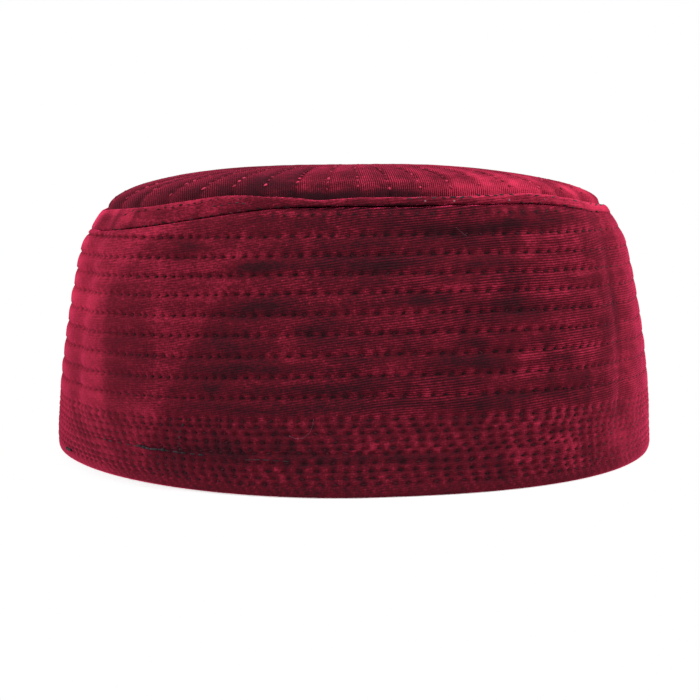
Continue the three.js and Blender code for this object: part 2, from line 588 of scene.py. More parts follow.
class Thread(Enum):
    """The kinds of thread on the cap: name, dark colour and light colour."""

    DARK = ("dark_thread", (0.009, 0.0035, 0.005), (0.075, 0.012, 0.02))
    GREY = ("grey_thread", (0.012, 0.01, 0.012), (0.055, 0.042, 0.05))
    PALE = ("pale_thread", (0.12, 0.045, 0.065), (0.3, 0.16, 0.2))
    BRIGHT = ("bright_thread", (0.09, 0.006, 0.014), (0.42, 0.03, 0.07))


@dataclass(frozen=True)
class LooseRun:
    """Thread that lies on the band along a charted line.

    Attributes:
        places: The line's corners, each a turn in degrees and a height.
        thread: Its kind of thread.
        pitch: Distance from length to length.
        half_length: Half of each length.
        half_width: Half its width.
        lift: How far out of the cloth it lies.
    """

    places: tuple[Range, ...]
    thread: Thread
    pitch: float
    half_length: float
    half_width: float
    lift: float = 0.4

    def spots(self, form: CapForm, rng: np.random.Generator) -> tuple[Spots, Array]:
        """Where the lengths of thread lie.

        Args:
            form: The cap's form.
            rng: Where its small differences come from.

        Returns:
            The places of the lengths, and their half sizes.
        """
        turn, z = np.radians(np.array(self.places)).T[0], np.array(self.places).T[1]
        corners = form.wall(turn, z)
        walked = np.concatenate([[0.0], np.cumsum(np.linalg.norm(np.diff(corners, axis=0), axis=-1))])
        at = np.arange(self.half_length, walked[-1], self.pitch)
        at = at + rng.normal(0, 0.1 * self.pitch, at.shape)
        steps = (at - 0.5, at, at + 0.5)
        here = [(np.interp(step, walked, turn), np.interp(step, walked, z)) for step in steps]
        behind, middle, ahead = (form.wall(*place, self.lift) for place in here)
        turn, z = here[1]
        middle = middle - form.pushed_in(turn, z)[:, None] * unit(middle * (1, 1, 0))
        along = unit(ahead - behind)
        out = unit(np.cross(form.wall(turn + 0.01, z) - form.wall(turn - 0.01, z), (0, 0, 1)))
        size = np.stack([
            self.half_length * rng.uniform(0.7, 1.1, at.shape),
            self.half_width * rng.uniform(0.7, 1.3, at.shape),
            np.full(at.shape, self.half_width),
        ], -1)
        return Spots(middle, along, np.cross(out, along), out), size


def loose_threads(form: CapForm, runs: tuple[LooseRun, ...], thread: Thread) -> bpy.types.Object:
    """The loose lengths of one kind of thread.

    Args:
        form: The cap's form.
        runs: Every charted run of thread.
        thread: The kind of thread.

    Returns:
        The piece.
    """
    rng = np.random.default_rng(81)
    found = [run.spots(form, rng) for run in runs if run.thread is thread]
    sizes = np.concatenate([size for _, size in found])
    pile = rng.uniform(-0.6, 0.4, len(sizes))
    return thread_knots(f"loose_{thread.value[0]}", joined([spots for spots, _ in found]), sizes, pile)


@dataclass(frozen=True)
class StitchRow:
    """One row of stitches round the band.

    Attributes:
        height: Height of the row.
        sink: How deep it pulls the cloth in.
        pitch: Distance from stitch to stitch along the front and the back.
        end_pitch: The same round both ends of the oval.
        phase: Where its first stitch lies, as a share of the pitch.
        seed: Which small wanderings it has.
        wobble: How far it wanders up and down.
        pit: Depth of the pit at each stitch.
        puffs: How strong the painted highlight on the little puffs between its stitches is.
        patchy: How much the pits' darkness differs, partly compressed pile and partly painted shade.
        right_end: Where along +X the pitch of the ends starts, and where it is reached.
        left_end: The same along -X.
    """

    height: float
    sink: float
    pitch: float
    end_pitch: float
    phase: float
    seed: int
    wobble: float = 0.22
    pit: float = 0.35
    puffs: float = 0.75
    patchy: float = 0.2
    right_end: Range = (42.0, 62.0)
    left_end: Range = (26.0, 46.0)

    def heights(self, share: Array) -> Array:
        """The row's height at each way round the cap.

        Args:
            share: Ways round the cap, from 0 to 1.

        Returns:
            The heights.
        """
        slow = SoftNoise(self.seed, 42, 10).at(share, 3.3)
        quick = SoftNoise(self.seed + 1, 9, 10).at(share, 3.3)
        return self.height + self.wobble * (0.75 * slow + 0.35 * quick)

    def places(self, form: CapForm, turn: Array) -> Array:
        """The row's stitch number at each turn, whole at the middle of a stitch.

        Args:
            form: The cap's form.
            turn: Turns round the cap.

        Returns:
            The stitch number at each turn.
        """
        fine = np.linspace(0, TAU, FINE_STEPS)
        ring = form.wall(fine, self.height)
        ends = smooth(ring[..., 0], *self.right_end) + smooth(-ring[..., 0], *self.left_end)
        pitch = mix(self.pitch, self.end_pitch, ends)
        steps = np.linalg.norm(np.diff(ring, axis=0), axis=-1) / ((pitch[1:] + pitch[:-1]) / 2)
        sewn = np.concatenate([[0.0], np.cumsum(steps)])
        sewn = sewn * round(sewn[-1]) / sewn[-1]
        share = form.shares(turn, self.height)
        own = SoftNoise(self.seed + 2, 6, 10, 0.24).at(share, 5.1)
        shared = SoftNoise(9, 14, 9, 0.25).at(share, self.height)
        return np.interp(turn, fine, sewn) + self.phase + (own + shared)

    def stitch_turns(self, form: CapForm) -> Array:
        """The turn of the middle of each stitch.

        Args:
            form: The cap's form.

        Returns:
            The turns, in order.
        """
        fine = np.linspace(0, TAU, 4 * FINE_STEPS - 3)
        number = self.places(form, fine)
        whole = np.arange(math.ceil(number[0]), math.ceil(number[-1]))
        return np.interp(whole, number, fine)


def pitted(place: Array, pitch: float, half_width: float) -> Array:
    """1 at each whole stitch number, falling off within a half-width."""
    return np.exp(-(((place - np.round(place)) * pitch / half_width) ** 2))


@dataclass(frozen=True)
class NapAndShadePatch:
    """A patch where the pile lies lighter or darker; a few are painted shade instead.

    Attributes:
        turn: Its middle, in degrees round the cap.
        height: Its middle.
        half_span: Its half length round the cap.
        half_height: Its half height.
        shade: From -1, dark, to 1, light.
        rise: How far it climbs for each mm to the right.
    """

    turn: float
    height: float
    half_span: float
    half_height: float
    shade: float
    rise: float = 0.0

    def weight(self, form: CapForm, points: Array) -> Array:
        """How strongly the patch acts on each point, from 0 to 1.

        Args:
            form: The cap's form.
            points: Points of the band.

        Returns:
            The weight at each point.
        """
        centre = form.wall(math.radians(self.turn), self.height)
        along = unit(form.wall(math.radians(self.turn + 1), self.height) - centre)
        span = (points - centre) @ along
        away = np.linalg.norm((points - centre)[..., :2], axis=-1)
        near = np.exp(-((away / (4 * self.half_span + 20)) ** 4))
        lift = points[..., 2] - self.height - self.rise * span
        return np.exp(-((span / self.half_span) ** 2) - (lift / self.half_height) ** 2) * near


@dataclass(frozen=True)
class NapAndSheenEdge:
    """A line down the band with lighter pile on its outer side; past a corner fold this is painted sheen.

    Attributes:
        top_turn: Where the line starts at its top, in degrees round the cap.
        bottom_turn: Where it ends at its bottom.
        top: Its top height.
        bottom: Its bottom height.
        width: How many degrees the change takes.
        shade: How much lighter the outer side is.
        outward: -1 where the outer side lies at smaller turns, 1 where it lies at larger ones.
        span: How many degrees the lighter side goes on.
    """

    top_turn: float
    bottom_turn: float
    top: float
    bottom: float
    width: float
    shade: float
    outward: int
    span: float

    def lightness(self, turn: Array, z: Array) -> Array:
        """How much lighter the outer side is at each turn and height, fading out above and below the line.

        Args:
            turn: Turns round the cap.
            z: Heights.

        Returns:
            The lightness at each point.
        """
        down = (self.top - z) / (self.top - self.bottom)
        line = mix(self.top_turn, self.bottom_turn, np.clip(down, -0.3, 1.3))
        past = (np.degrees(turn) % 360 - 360 - line) * self.outward
        upright = smooth(down, -0.25, 0.05) * (1 - smooth(down, 0.95, 1.5))
        risen = self.shade * upright * smooth(past, -self.width, self.width)
        return risen * (1 - smooth(past, 0, self.span))


@dataclass(frozen=True)
class EndShade:
    """A zone of painted sheen towards one end of the cap, or of painted shade that tones it down.

    Attributes:
        side: 1 for the right end, -1 for the left end.
        start: How far from the middle it starts.
        full: How far from the middle it is reached in full.
        shade: How much painted sheen it adds, below 0 where it tones the sheen down.
    """

    side: int
    start: float
    full: float
    shade: float


@dataclass
class SideBand:
    """The quilted band round the head, with its hem and its plain inner face.

    Attributes:
        form: The cap's form.
        patches: Where the pile lies lighter or darker, and two patches of painted shade.
        edges: Lines with lighter pile on one side: brushed pile, and painted sheen past the corner folds.
        columns: How many points go round the cap.
        wide_heights: Heights of the widely spaced rows.
        close_heights: Heights of the close rows above the hem.
        wide_row: What the wide rows have in common.
        close_row: What the close rows have in common.
        top_puff_highlight: How strong the painted highlight on the puffs of the topmost close row is.
        phase_step: How far each close row's stitches are shifted against the row below.
        seeds_per_row: How many noises each row has.
        stitches_round: About how many stitches go round the cap.
        slant: How far the pits lean at the left, in stitches for each mm up.
        slant_turn: How much that changes towards the right.
        slant_zone: Where along X the change lies.
        slant_reach: How far above and below a row its pits go on leaning.
        even_end: Where along X the puffs' lightness grows from half to full.
        pit_size: Half width and half height of a pit.
        pit_shade_height: Half height of a pit's dark pile, partly compressed pile and partly painted shade.
        puff_size: Half width and half height of a puff.
        puff_above: How far above its row a puff lies.
        tight_loss: Share of the pits and puffs that is lost where the band is pulled tight.
        end_sheen_and_shade: Painted sheen towards both ends, and painted shade that tones it down near the
            rims.
        draw: How strongly the rows draw the padding in along the front.
        left_draw: How much more they do so at the left end.
        right_draw: How much less they do so at the right end.
        seam_sink: How deep the seam pulls the cloth in.
        left_seam_sink: How much less it does so on the left.
        hollow_shade: How much darker the middle of a wide channel is.
        hollow_zone: Where along X that darkness grows from half to full.
        row_shade: How much painted shade lies in the grooves beside the rows at the left end.
        row_shade_zone: How far from the middle that starts and where it is full.
        puff: How far a wide channel puffs out.
        puffed_from: Height of a channel that starts to puff, and of one that puffs in full.
        wide_from: Height of a channel whose middle starts to darken, and of one where it is full.
        swell_power: How square a channel's swell is, 1 for a plain arch and less for a squarer one.
        wide_steps: Layers in a wide channel.
        close_steps: Layers in a close one.
        topstitch_below: How far below the seam the topstitching lies.
        patch_strength: How strongly the patches act.
        fold_radius: Radius of the hem's fold.
        cord_pitch: Distance from twist to twist along the hem.
        top_layers: Outward moves of the two layers at the top edge.
        inner_levels: Heights of the inner face's layers, from the top down.
    """

    form: CapForm
    patches: tuple[NapAndShadePatch, ...]
    edges: tuple[NapAndSheenEdge, ...]
    columns: int = 672
    wide_heights: tuple[float, ...] = (28.0, 33.5, 39.3, 45.1, 50.6, 56.2, 61.4, 66.6, 72.0)
    close_heights: tuple[float, ...] = (4.0, 5.6, 7.6, 10.0, 12.6, 13.8, 15.8, 18.0, 19.8, 21.6)
    wide_row: StitchRow = StitchRow(0.0, 0.5, 3.85, 2.6, phase=0.0, seed=200)
    close_row: StitchRow = StitchRow(0.0, 0.28, 4.0, 3.0, phase=0.0, seed=100, wobble=0.38, puffs=0.95,
                                     patchy=0.65)
    top_puff_highlight: float = 1.3
    phase_step: float = 0.11
    seeds_per_row: int = 5
    stitches_round: float = 140.0
    slant: float = 0.06
    slant_turn: float = 0.2
    slant_zone: Range = (-20.0, 25.0)
    slant_reach: float = 1.5
    even_end: Range = (-55.0, -30.0)
    pit_size: Range = (0.8, 0.7)
    pit_shade_height: float = 0.65
    puff_size: Range = (1.05, 0.8)
    puff_above: float = 0.6
    tight_loss: float = 0.65
    end_sheen_and_shade: tuple[EndShade, ...] = (
        EndShade(1, 68, 81, 0.5),
        EndShade(-1, 68, 81, 0.5),
        EndShade(1, 66, 78, -0.2),
        EndShade(1, 80, 87, -0.27),
        EndShade(-1, 66, 74, -0.1),
        EndShade(-1, 82, 89, 0.15),
    )
    draw: float = 0.65
    left_draw: float = 0.35
    right_draw: float = 0.3
    seam_sink: float = 0.35
    left_seam_sink: float = 0.2
    hollow_shade: float = 0.2
    hollow_zone: Range = (-45.0, 5.0)
    row_shade: float = 0.15
    row_shade_zone: Range = (70.0, 80.0)
    puff: float = 0.3
    puffed_from: Range = (1.0, 5.0)
    wide_from: Range = (3.0, 5.0)
    swell_power: float = 0.6
    wide_steps: int = 7
    close_steps: int = 4
    topstitch_below: float = 2.1
    patch_strength: float = 1.25
    fold_radius: float = 1.1
    cord_pitch: float = 2.6
    top_layers: Range = (-1.2, -2.4)
    inner_levels: tuple[float, ...] = (
        76.0, 74.0, 72.0, 69.3, 66.6, 64.0, 61.4, 58.8, 56.2, 53.4, 50.6, 47.8, 45.1, 42.2, 39.3, 36.4,
        33.5, 30.8, 28.0, 24.8, 21.6, 17.0, 12.0, 7.0, 3.0,
    )

    def rows(self) -> list[StitchRow]:
        """Every row of stitches on the band, from the hem up.

        Returns:
            The rows.
        """
        rng = np.random.default_rng(11)
        found = []
        for k, height in enumerate(self.close_heights):
            phase = self.phase_step * k + rng.uniform(-0.2, 0.2)
            puffs = self.top_puff_highlight if height == self.close_heights[-1] else self.close_row.puffs
            seed = self.close_row.seed + self.seeds_per_row * k
            found.append(replace(self.close_row, height=height, phase=phase, seed=seed, puffs=puffs))
        for k, height in enumerate(self.wide_heights):
            seed = self.wide_row.seed + self.seeds_per_row * k
            found.append(replace(self.wide_row, height=height, phase=rng.uniform(0, 1), seed=seed))
        return found

    def topstitching(self) -> StitchRow:
        """The row that holds the welt's seam down."""
        height = self.form.band_height - self.topstitch_below
        return replace(self.wide_row, height=height, sink=0.1, phase=0.3, seed=300, wobble=0.15, pit=0.2)

    def looseness(self, turn: Array) -> Array:
        """1 where the cloth puffs and puckers in full, less where the band is pulled tight."""
        return 1 - self.tight_loss * self.form.tightness(turn)

    def topstitch_shows(self, turn: Array) -> Array:
        """1 where the topstitching lies clear below the seam, else 0."""
        return smooth(self.form.seam(turn) - self.topstitching().height, 0.8, 1.8)

    def drawn_in(self, turn: Array) -> Array:
        """How strongly the rows draw the padding in: most at the left end, least at the right end.

        Args:
            turn: Turns round the cap.

        Returns:
            The strength at each turn.
        """
        x, y = self.form.plan(turn, self.form.middle_height)
        right = self.right_draw * smooth(x, *self.form.tight_end) * (1 - smooth(y, *self.form.hidden_end))
        return self.draw + self.left_draw * smooth(-x, *self.form.tight_end) - right

    def relief(self, row: StitchRow, turn: Array, gap: Array) -> tuple[Array, Array]:
        """Pits and little puffs along one row, with painted shade at the pits and painted highlights on the
        puffs.

        Args:
            row: The row of stitches.
            turn: Turns of the points.
            gap: Their height above the row, below it if negative.

        Returns:
            How far the cloth comes out, and how light its pile is.
        """
        place = row.places(self.form, turn)
        x = self.form.plan(turn, row.height)[0]
        slant = self.slant - self.slant_turn * smooth(x, *self.slant_zone)
        leaning = place + slant * np.clip(gap, -self.slant_reach, self.slant_reach)
        pits = pitted(leaning, row.pitch, self.pit_size[0])
        puffs = pitted(place + 0.5, row.pitch, self.puff_size[0])
        puffs = puffs * fade(gap - self.puff_above, self.puff_size[1])
        loose = self.looseness(turn)
        share = place / self.stitches_round
        uneven = 0.7 + SoftNoise(row.seed + 3, 5, 10, 0.6).at(share, 2.7)
        uneven = uneven * (0.5 + 0.5 * smooth(x, *self.even_end))
        patchy = 0.85 + SoftNoise(row.seed + 4, 4.5, 10, row.patchy).at(share, 1.3)
        out = row.pit * (0.8 * puffs - pits * fade(gap, self.pit_size[1]))
        # Painted highlight on each puff; the dark pile at each pit is partly compressed pile and partly
        # painted shade.
        nap = row.puffs * uneven * puffs - patchy * pits * fade(gap, self.pit_shade_height)
        return out * loose, nap * loose

    def outer(self, layers: Layers, turn: Array, share: Array) -> None:
        """Adds the quilted face, from the lowest row up to the seam.

        Args:
            layers: The band's layers so far.
            turn: Turns of the columns.
            share: Their ways round the cap.
        """
        rows = self.rows()
        lines = [row.heights(share) for row in rows] + [self.form.seam(turn)]
        sinks = [row.sink for row in rows]
        sinks.append(self.seam_sink - self.left_seam_sink * self.form.leftness(turn))
        drawn_in = self.drawn_in(turn)
        x = self.form.plan(turn, self.form.middle_height)[0]
        hollows = self.hollow_shade * drawn_in * (0.5 + 0.5 * smooth(x, *self.hollow_zone))
        # Painted shade in the grooves beside the rows at the left end.
        left_end = self.row_shade * smooth(-x, *self.row_shade_zone)
        for k, row in enumerate(rows):
            steps = self.close_steps if row.height < self.close_heights[-1] else self.wide_steps
            tall = lines[k + 1] - lines[k]
            puff = self.puff * smooth(tall, *self.puffed_from)
            wide = smooth(tall, *self.wide_from)
            for p in np.arange(steps) / steps:
                z = lines[k] + tall * p
                swell = np.sin(math.pi * p) ** self.swell_power
                out = drawn_in * (puff * swell - mix(sinks[k], sinks[k + 1], p) * (1 - swell))
                nap = -hollows * math.sin(math.pi * p) ** 2 * wide - left_end * (1 - swell)
                for near in range(k, min(k + 2, len(rows))):
                    relief, pile = self.relief(rows[near], turn, z - lines[near])
                    out, nap = out + relief, nap + pile
                layers.add(z, out, nap)
        layers.add(lines[-1], -sinks[-1] * drawn_in)

    def padding(self, share: Array, z: Array) -> Array:
        """Small puckers and uneven padding of the quilted cloth."""
        noises = (SoftNoise(31, 3.4, 5.5, 0.07), SoftNoise(32, 11, 4.5, 0.1), SoftNoise(33, 46, 30, 0.25))
        return sum(noise.at(share, z) for noise in noises)

    def hem(self, layers: Layers, turn: Array, share: Array) -> None:
        """Adds the folded hem, from its inner foot round the bottom to just under the lowest row.

        Args:
            layers: The band's layers so far.
            turn: Turns of the columns.
            share: Their ways round the cap.
        """
        half = self.form.cloth / 2 - 0.1
        for angle in np.linspace(0, math.pi, 7):
            layers.add(self.fold_radius * (1 - math.sin(angle)), -half - 0.05 - half * math.cos(angle))
        lowest = self.rows()[0].heights(share)
        for p in (0.25, 0.5, 0.75):
            z = mix(self.fold_radius, lowest, p)
            turns = share * GIRTH / self.cord_pitch + z / 3.2
            twist = np.sin(TAU * turns + SoftNoise(41, 9, 9, 1.4).at(share, z))
            light = 0.3 * smooth(-self.form.plan(turn, z)[0], 25, 65)
            layers.add(z, 0.2 * math.sin(math.pi * p) - 0.15 + 0.08 * twist, 0.45 * twist - 0.08 + light)

    def inner(self, layers: Layers, top: Array) -> None:
        """Adds the plain inner face, from the top down, with the wide rows showing as shallow lines.

        Args:
            layers: The band's layers so far.
            top: Height of the seam, by column.
        """
        rows = set(self.wide_heights) | {self.close_heights[-1]}
        for z in self.inner_levels:
            out, nap = (0.3, -0.2) if z in rows else (-0.1, 0.0)
            layers.add(np.minimum(z, top - (self.form.band_height - z) * 0.05), out - self.form.cloth, nap)

    def pile(self, x: Array, z: Array, share: Array) -> Array:
        """Painted sheen and shade at both ends, and the lightness of the pile in the close rows.

        Args:
            x: Places along the cap.
            z: Heights.
            share: Ways round the cap.

        Returns:
            The lightness at each point.
        """
        columns = SoftNoise(42, 3.6, 11, 0.3).at(share + z * 0.0011, z)
        close = columns * (1 - smooth(z, 19, 24)) * smooth(z, 3, 6) - 0.2 * (1 - smooth(z, 18, 26))
        # Painted sheen towards both ends, toned down by painted shade near the rims.
        ends = sum(zone.shade * smooth(zone.side * x, zone.start, zone.full) for zone in self.end_sheen_and_shade)
        # Painted sheen at the far left end, stronger towards the top.
        return close + ends + (0.4 * smooth(z, 30, 70) - 0.15) * smooth(-x, 78, 88)

    def build(self) -> bpy.types.Object:
        """The whole band as one closed piece.

        Returns:
            The piece.
        """
        share = np.linspace(0, 1, self.columns + 1)
        turn = self.form.turns(share, self.form.middle_height)
        top = self.form.seam(turn)
        layers = Layers(self.columns + 1)
        self.hem(layers, turn, share)
        self.outer(layers, turn, share)
        count = len(layers.found)
        for depth in self.top_layers:
            layers.add(top, depth)
        self.inner(layers, top)
        layers.found.append(layers.found[0])
        z, out, nap = np.stack(layers.found, 1)
        outside = (np.arange(len(z)) < count)[:, None]
        row = self.topstitching()
        relief, pits = self.relief(row, turn, z - row.heights(share))
        shows = outside * self.topstitch_shows(turn)
        upright = smooth(z, 2.0, 5.0) * (1 - smooth(z - top, -2.0, -0.2))
        gaping = self.form.gaping(turn) * smooth(z - top, -2.4, -0.2)
        gaping = gaping * (0.75 + SoftNoise(43, 7, 10, 0.5).at(share, 4.0))
        out = out + shows * relief - self.form.pushed_in(turn, z)
        out = out + outside * (self.padding(share, z) * upright - 0.4 * gaping)
        points = self.form.wall(turn, z, out) - np.stack([0 * z, 0 * z, 0.4 * gaping], -1)
        light = self.pile(points[..., 0], z, share)
        for patch in self.patches:
            light = light + self.patch_strength * patch.shade * patch.weight(self.form, points)
        for edge in self.edges:
            light = light + edge.lightness(turn, z)
        # The gaping term is painted shade where the seam gapes; the topstitching's pits add dark pile,
        # partly painted shade.
        nap = nap + shows * pits + outside * light - 0.6 * gaping**3
        return Shell(points, np.clip(nap, -1.6, 2.6), z + 0.35 * out).build("quilted_band")

    def spots(self) -> tuple[Spots, Array]:
        """Where each stitch lies on the band.

        Returns:
            The places, and which of them are in a close row.
        """
        found, close = [], []
        shown_rows = [*self.rows(), self.topstitching()]
        for row in shown_rows:
            turn = row.stitch_turns(self.form)
            if row is shown_rows[-1]:
                turn = turn[self.topstitch_shows(turn) > 0.6]
            share = self.form.shares(turn, self.form.middle_height)
            z = row.heights(share)
            out = -row.sink * self.drawn_in(turn) - 0.55 * row.pit * self.looseness(turn)
            out = out + self.padding(share, z) - self.form.pushed_in(turn, z)
            found.append(self.form.spots(turn, z, out))
            close.append(np.full(turn.shape, row.height < self.wide_heights[0] - 6))
        return joined(found), np.concatenate(close)

    def stitches(self) -> bpy.types.Object:
        """The dark thread that shows at each stitch of the band.

        Returns:
            The piece.
        """
        spots, close = self.spots()
        rng = np.random.default_rng(21)
        count = len(close)
        x, y = spots.centre[:, 0], spots.centre[:, 1]
        slant = rng.choice([-0.45, 0.35], count, p=[0.65, 0.35]) * np.where(close, 0.4, 1.0)
        slant = slant * np.where(x > 0, -1.0, 1.0) + rng.normal(0, 0.2, count)
        half_size = np.stack([
            rng.uniform(0.45, 1.1, count) * np.where(close, 1.1, 1.0),
            rng.uniform(0.24, 0.4, count) * np.where(close, 0.9, 1.0),
            np.full(count, 0.3),
        ], -1)
        tight = smooth(np.abs(x), *self.form.tight_end) * (1 - 0.8 * smooth(y, -12, 8))
        half_size = half_size * (1 - 0.35 * tight)[:, None]
        half_size[:, 0] *= 1 - 0.25 * smooth(-x, 26, 46)
        pile = rng.uniform(-0.5, 0.3, count) + np.where(close, 0.15, 0.0) + 1.0 * tight
        kept = rng.uniform(0, 1, count) < np.where(close, 0.8, 0.97)
        return thread_knots("band_stitches", spots.turned(slant).kept(kept), half_size[kept], pile[kept])


@dataclass(frozen=True)
class WeltRow:
    """Threads that show along the strip, from one turn in degrees to another.

    Attributes:
        start: Where they start.
        end: Where they end.
        up: How far up the strip they lie, from 0 to 1.
        pitch: Distance from thread to thread.
        half_length: Half the length of each.
        kept: Share of the threads that show.
        thread: Their kind of thread.
    """

    start: float
    end: float
    up: float
    pitch: float
    half_length: float
    kept: float = 1.0
    thread: Thread = Thread.DARK


@dataclass
class SeamWelt:
    """The folded strip that covers the seam between the crown and the band.

    Attributes:
        form: The cap's form.
        rows: The threads that show on the strip.
        columns: How many points go round the cap.
        around: How many points go round the strip's section.
        start_angle: Where on the section its join lies.
        bulge: How far the strip stands out of the wall.
        depth: How far it reaches into the wall.
        corner_power: How square its section is, 2 for an ellipse.
        left_flatness: How much less it stands out on the left.
        tight_flatness: How much less it stands out where the band is pulled tight.
        lap: How far its foot laps over the band at the right end.
        lap_zone: Where along X the lap starts and where it is full.
        top_highlight: How strong the painted highlight along its top edge is.
        top_zone: How far up the strip that starts and where it is full, from 0 to 1.
        left_shade: How much lighter the left part is.
        right_painted_light: How much painted light the right part has.
        right_zone: Where along X that starts and where it is full.
        foot_shade: How much painted shadow lies along its foot.
        foot_zone: How far up the strip that is full and where it ends, from 0 to 1.
        dull_spans: Darker stretches in front: middle along X, half length and depth of shade.
        tuck_shadows: Painted shade of small folds in front: place along X and depth of shade.
    """

    form: CapForm
    rows: tuple[WeltRow, ...]
    columns: int = 780
    around: int = 28
    start_angle: float = -2.2
    bulge: float = 0.55
    depth: float = 1.15
    corner_power: float = 2.8
    left_flatness: float = 0.2
    tight_flatness: float = 0.3
    lap: float = 0.6
    lap_zone: Range = (52.0, 70.0)
    top_highlight: float = 0.35
    top_zone: Range = (0.6, 0.95)
    left_shade: float = 0.3
    right_painted_light: float = 0.8
    right_zone: Range = (15.0, 40.0)
    foot_shade: float = 0.4
    foot_zone: Range = (0.0, 0.35)
    dull_spans: tuple[tuple[float, float, float], ...] = ((-32.0, 17.0, 0.45), (0.0, 45.0, 0.22))
    tuck_shadows: tuple[Range, ...] = ((-70.5, 0.7), (-64.5, 0.6), (-47.0, 0.5), (-74.5, 0.4))

    def foot(self, turn: Array) -> Array:
        """Height of the strip's foot, which laps over the band's top edge at the right end."""
        x = self.form.plan(turn, self.form.band_height)[0]
        return self.form.seam(turn) + self.form.sewn_gap - self.lap * smooth(x, *self.lap_zone)

    def flatness(self, turn: Array) -> Array:
        """How much less the strip stands out at the tight ends and on the left."""
        tight = self.tight_flatness * self.form.tightness(turn)
        return tight + self.left_flatness * self.form.leftness(turn)

    def pile(self, turn: Array, share: Array, up: Array) -> Array:
        """Lightness of the strip's pile, with painted highlight, light and shadow added.

        Args:
            turn: Turns round the cap.
            share: Ways round the cap.
            up: How far up the strip each point lies, from 0 to 1.

        Returns:
            The lightness at each point.
        """
        x = self.form.plan(turn, self.form.band_height)[0]
        leftness, front = self.form.leftness(turn), np.sin(turn) < 0
        nap = 0.1 + SoftNoise(54, 5, 2, 0.35).at(share, up * 4)
        nap = nap + SoftNoise(56, 16, 2, 0.15).at(share, up * 2)
        # Painted highlight along the strip's top edge, and lighter pile on the left.
        nap = nap + self.top_highlight * smooth(up, *self.top_zone) + self.left_shade * leftness
        # Painted light on the right part.
        nap = nap + self.right_painted_light * smooth(x, *self.right_zone)
        # Painted shadow along the strip's foot, deepest where the seam gapes.
        foot = self.foot_shade - self.left_shade * leftness + self.form.gaping(turn)
        nap = nap - foot * (1 - smooth(up, *self.foot_zone))
        dull = sum(depth * bell(x - place, half_span) for place, half_span, depth in self.dull_spans)
        nap = nap - dull * front
        # Painted shade of small folds in front.
        for place, depth in self.tuck_shadows:
            nap = nap - depth * bell(x - place - up, 1.2) * front
        return nap

    def build(self) -> bpy.types.Object:
        """The strip as one closed ring.

        Returns:
            The piece.
        """
        share = np.linspace(0, 1, self.columns + 1)
        turn = self.form.turns(share, self.form.middle_height)
        angle = np.linspace(0, TAU, self.around + 1)[:, None] + self.start_angle
        squared = oval_reach(angle, self.corner_power)
        height = self.form.welt(turn)
        up = 0.5 + 0.5 * np.sin(angle) * squared
        half = (self.bulge + self.depth) / 2
        out = self.bulge - half + np.cos(angle) * squared * half
        pulls = SoftNoise(51, 3.4, 3, 0.12).at(share, up * 3) + SoftNoise(52, 14, 3, 0.12).at(share, up * 2)
        waves = SoftNoise(53, 17, 5, 0.28).at(share, 1.0) + SoftNoise(55, 5, 5, 0.1).at(share, 1.0)
        z = self.foot(turn) + up * (height + waves * smooth(up, 0.4, 1.0))
        out = out + (pulls - self.flatness(turn)) * smooth(out, -0.3, 0.4)
        points = self.form.wall(turn, z, out - self.form.pushed_in(turn, z))
        return Shell(points, self.pile(turn, share, up), up * height).build("seam_roll")

    def stitches(self, thread: Thread) -> bpy.types.Object:
        """The threads of one kind that show on the strip.

        Args:
            thread: The kind of thread.

        Returns:
            The piece.
        """
        rng = np.random.default_rng(57)
        places, ups, sizes = [], [], []
        for row in (row for row in self.rows if row.thread is thread):
            ends = np.radians(np.array([row.start, row.end]) % 360)
            start, end = self.form.shares(ends, self.form.band_height)
            share = np.arange(start, end, row.pitch / GIRTH)
            share = share + rng.normal(0, 0.08, share.shape) * row.pitch / GIRTH
            share = share[rng.uniform(0, 1, share.shape) < row.kept]
            places.append(share)
            ups.append(row.up + rng.normal(0, 0.04, share.shape))
            sizes.append(np.stack([
                row.half_length * rng.uniform(0.7, 1.15, share.shape),
                rng.uniform(0.24, 0.36, share.shape),
                np.full(share.shape, 0.28),
            ], -1))
        share, up = np.concatenate(places), np.concatenate(ups)
        turn = self.form.turns(share, self.form.band_height)
        z = self.foot(turn) + up * self.form.welt(turn)
        half = (self.bulge + self.depth) / 2
        upright = np.clip(np.abs(2 * up - 1), 0, 0.98)
        section = (1 - upright**self.corner_power) ** (1 / self.corner_power)
        out = self.bulge - half + half * section - 0.08 - self.flatness(turn)
        spots = self.form.spots(turn, z, out - self.form.pushed_in(turn, z))
        slant = rng.normal(0, 0.25, share.shape)
        pile = rng.uniform(-0.5, 0.5, share.shape)
        return thread_knots(f"welt_{thread.value[0]}", spots.turned(slant), np.concatenate(sizes), pile)


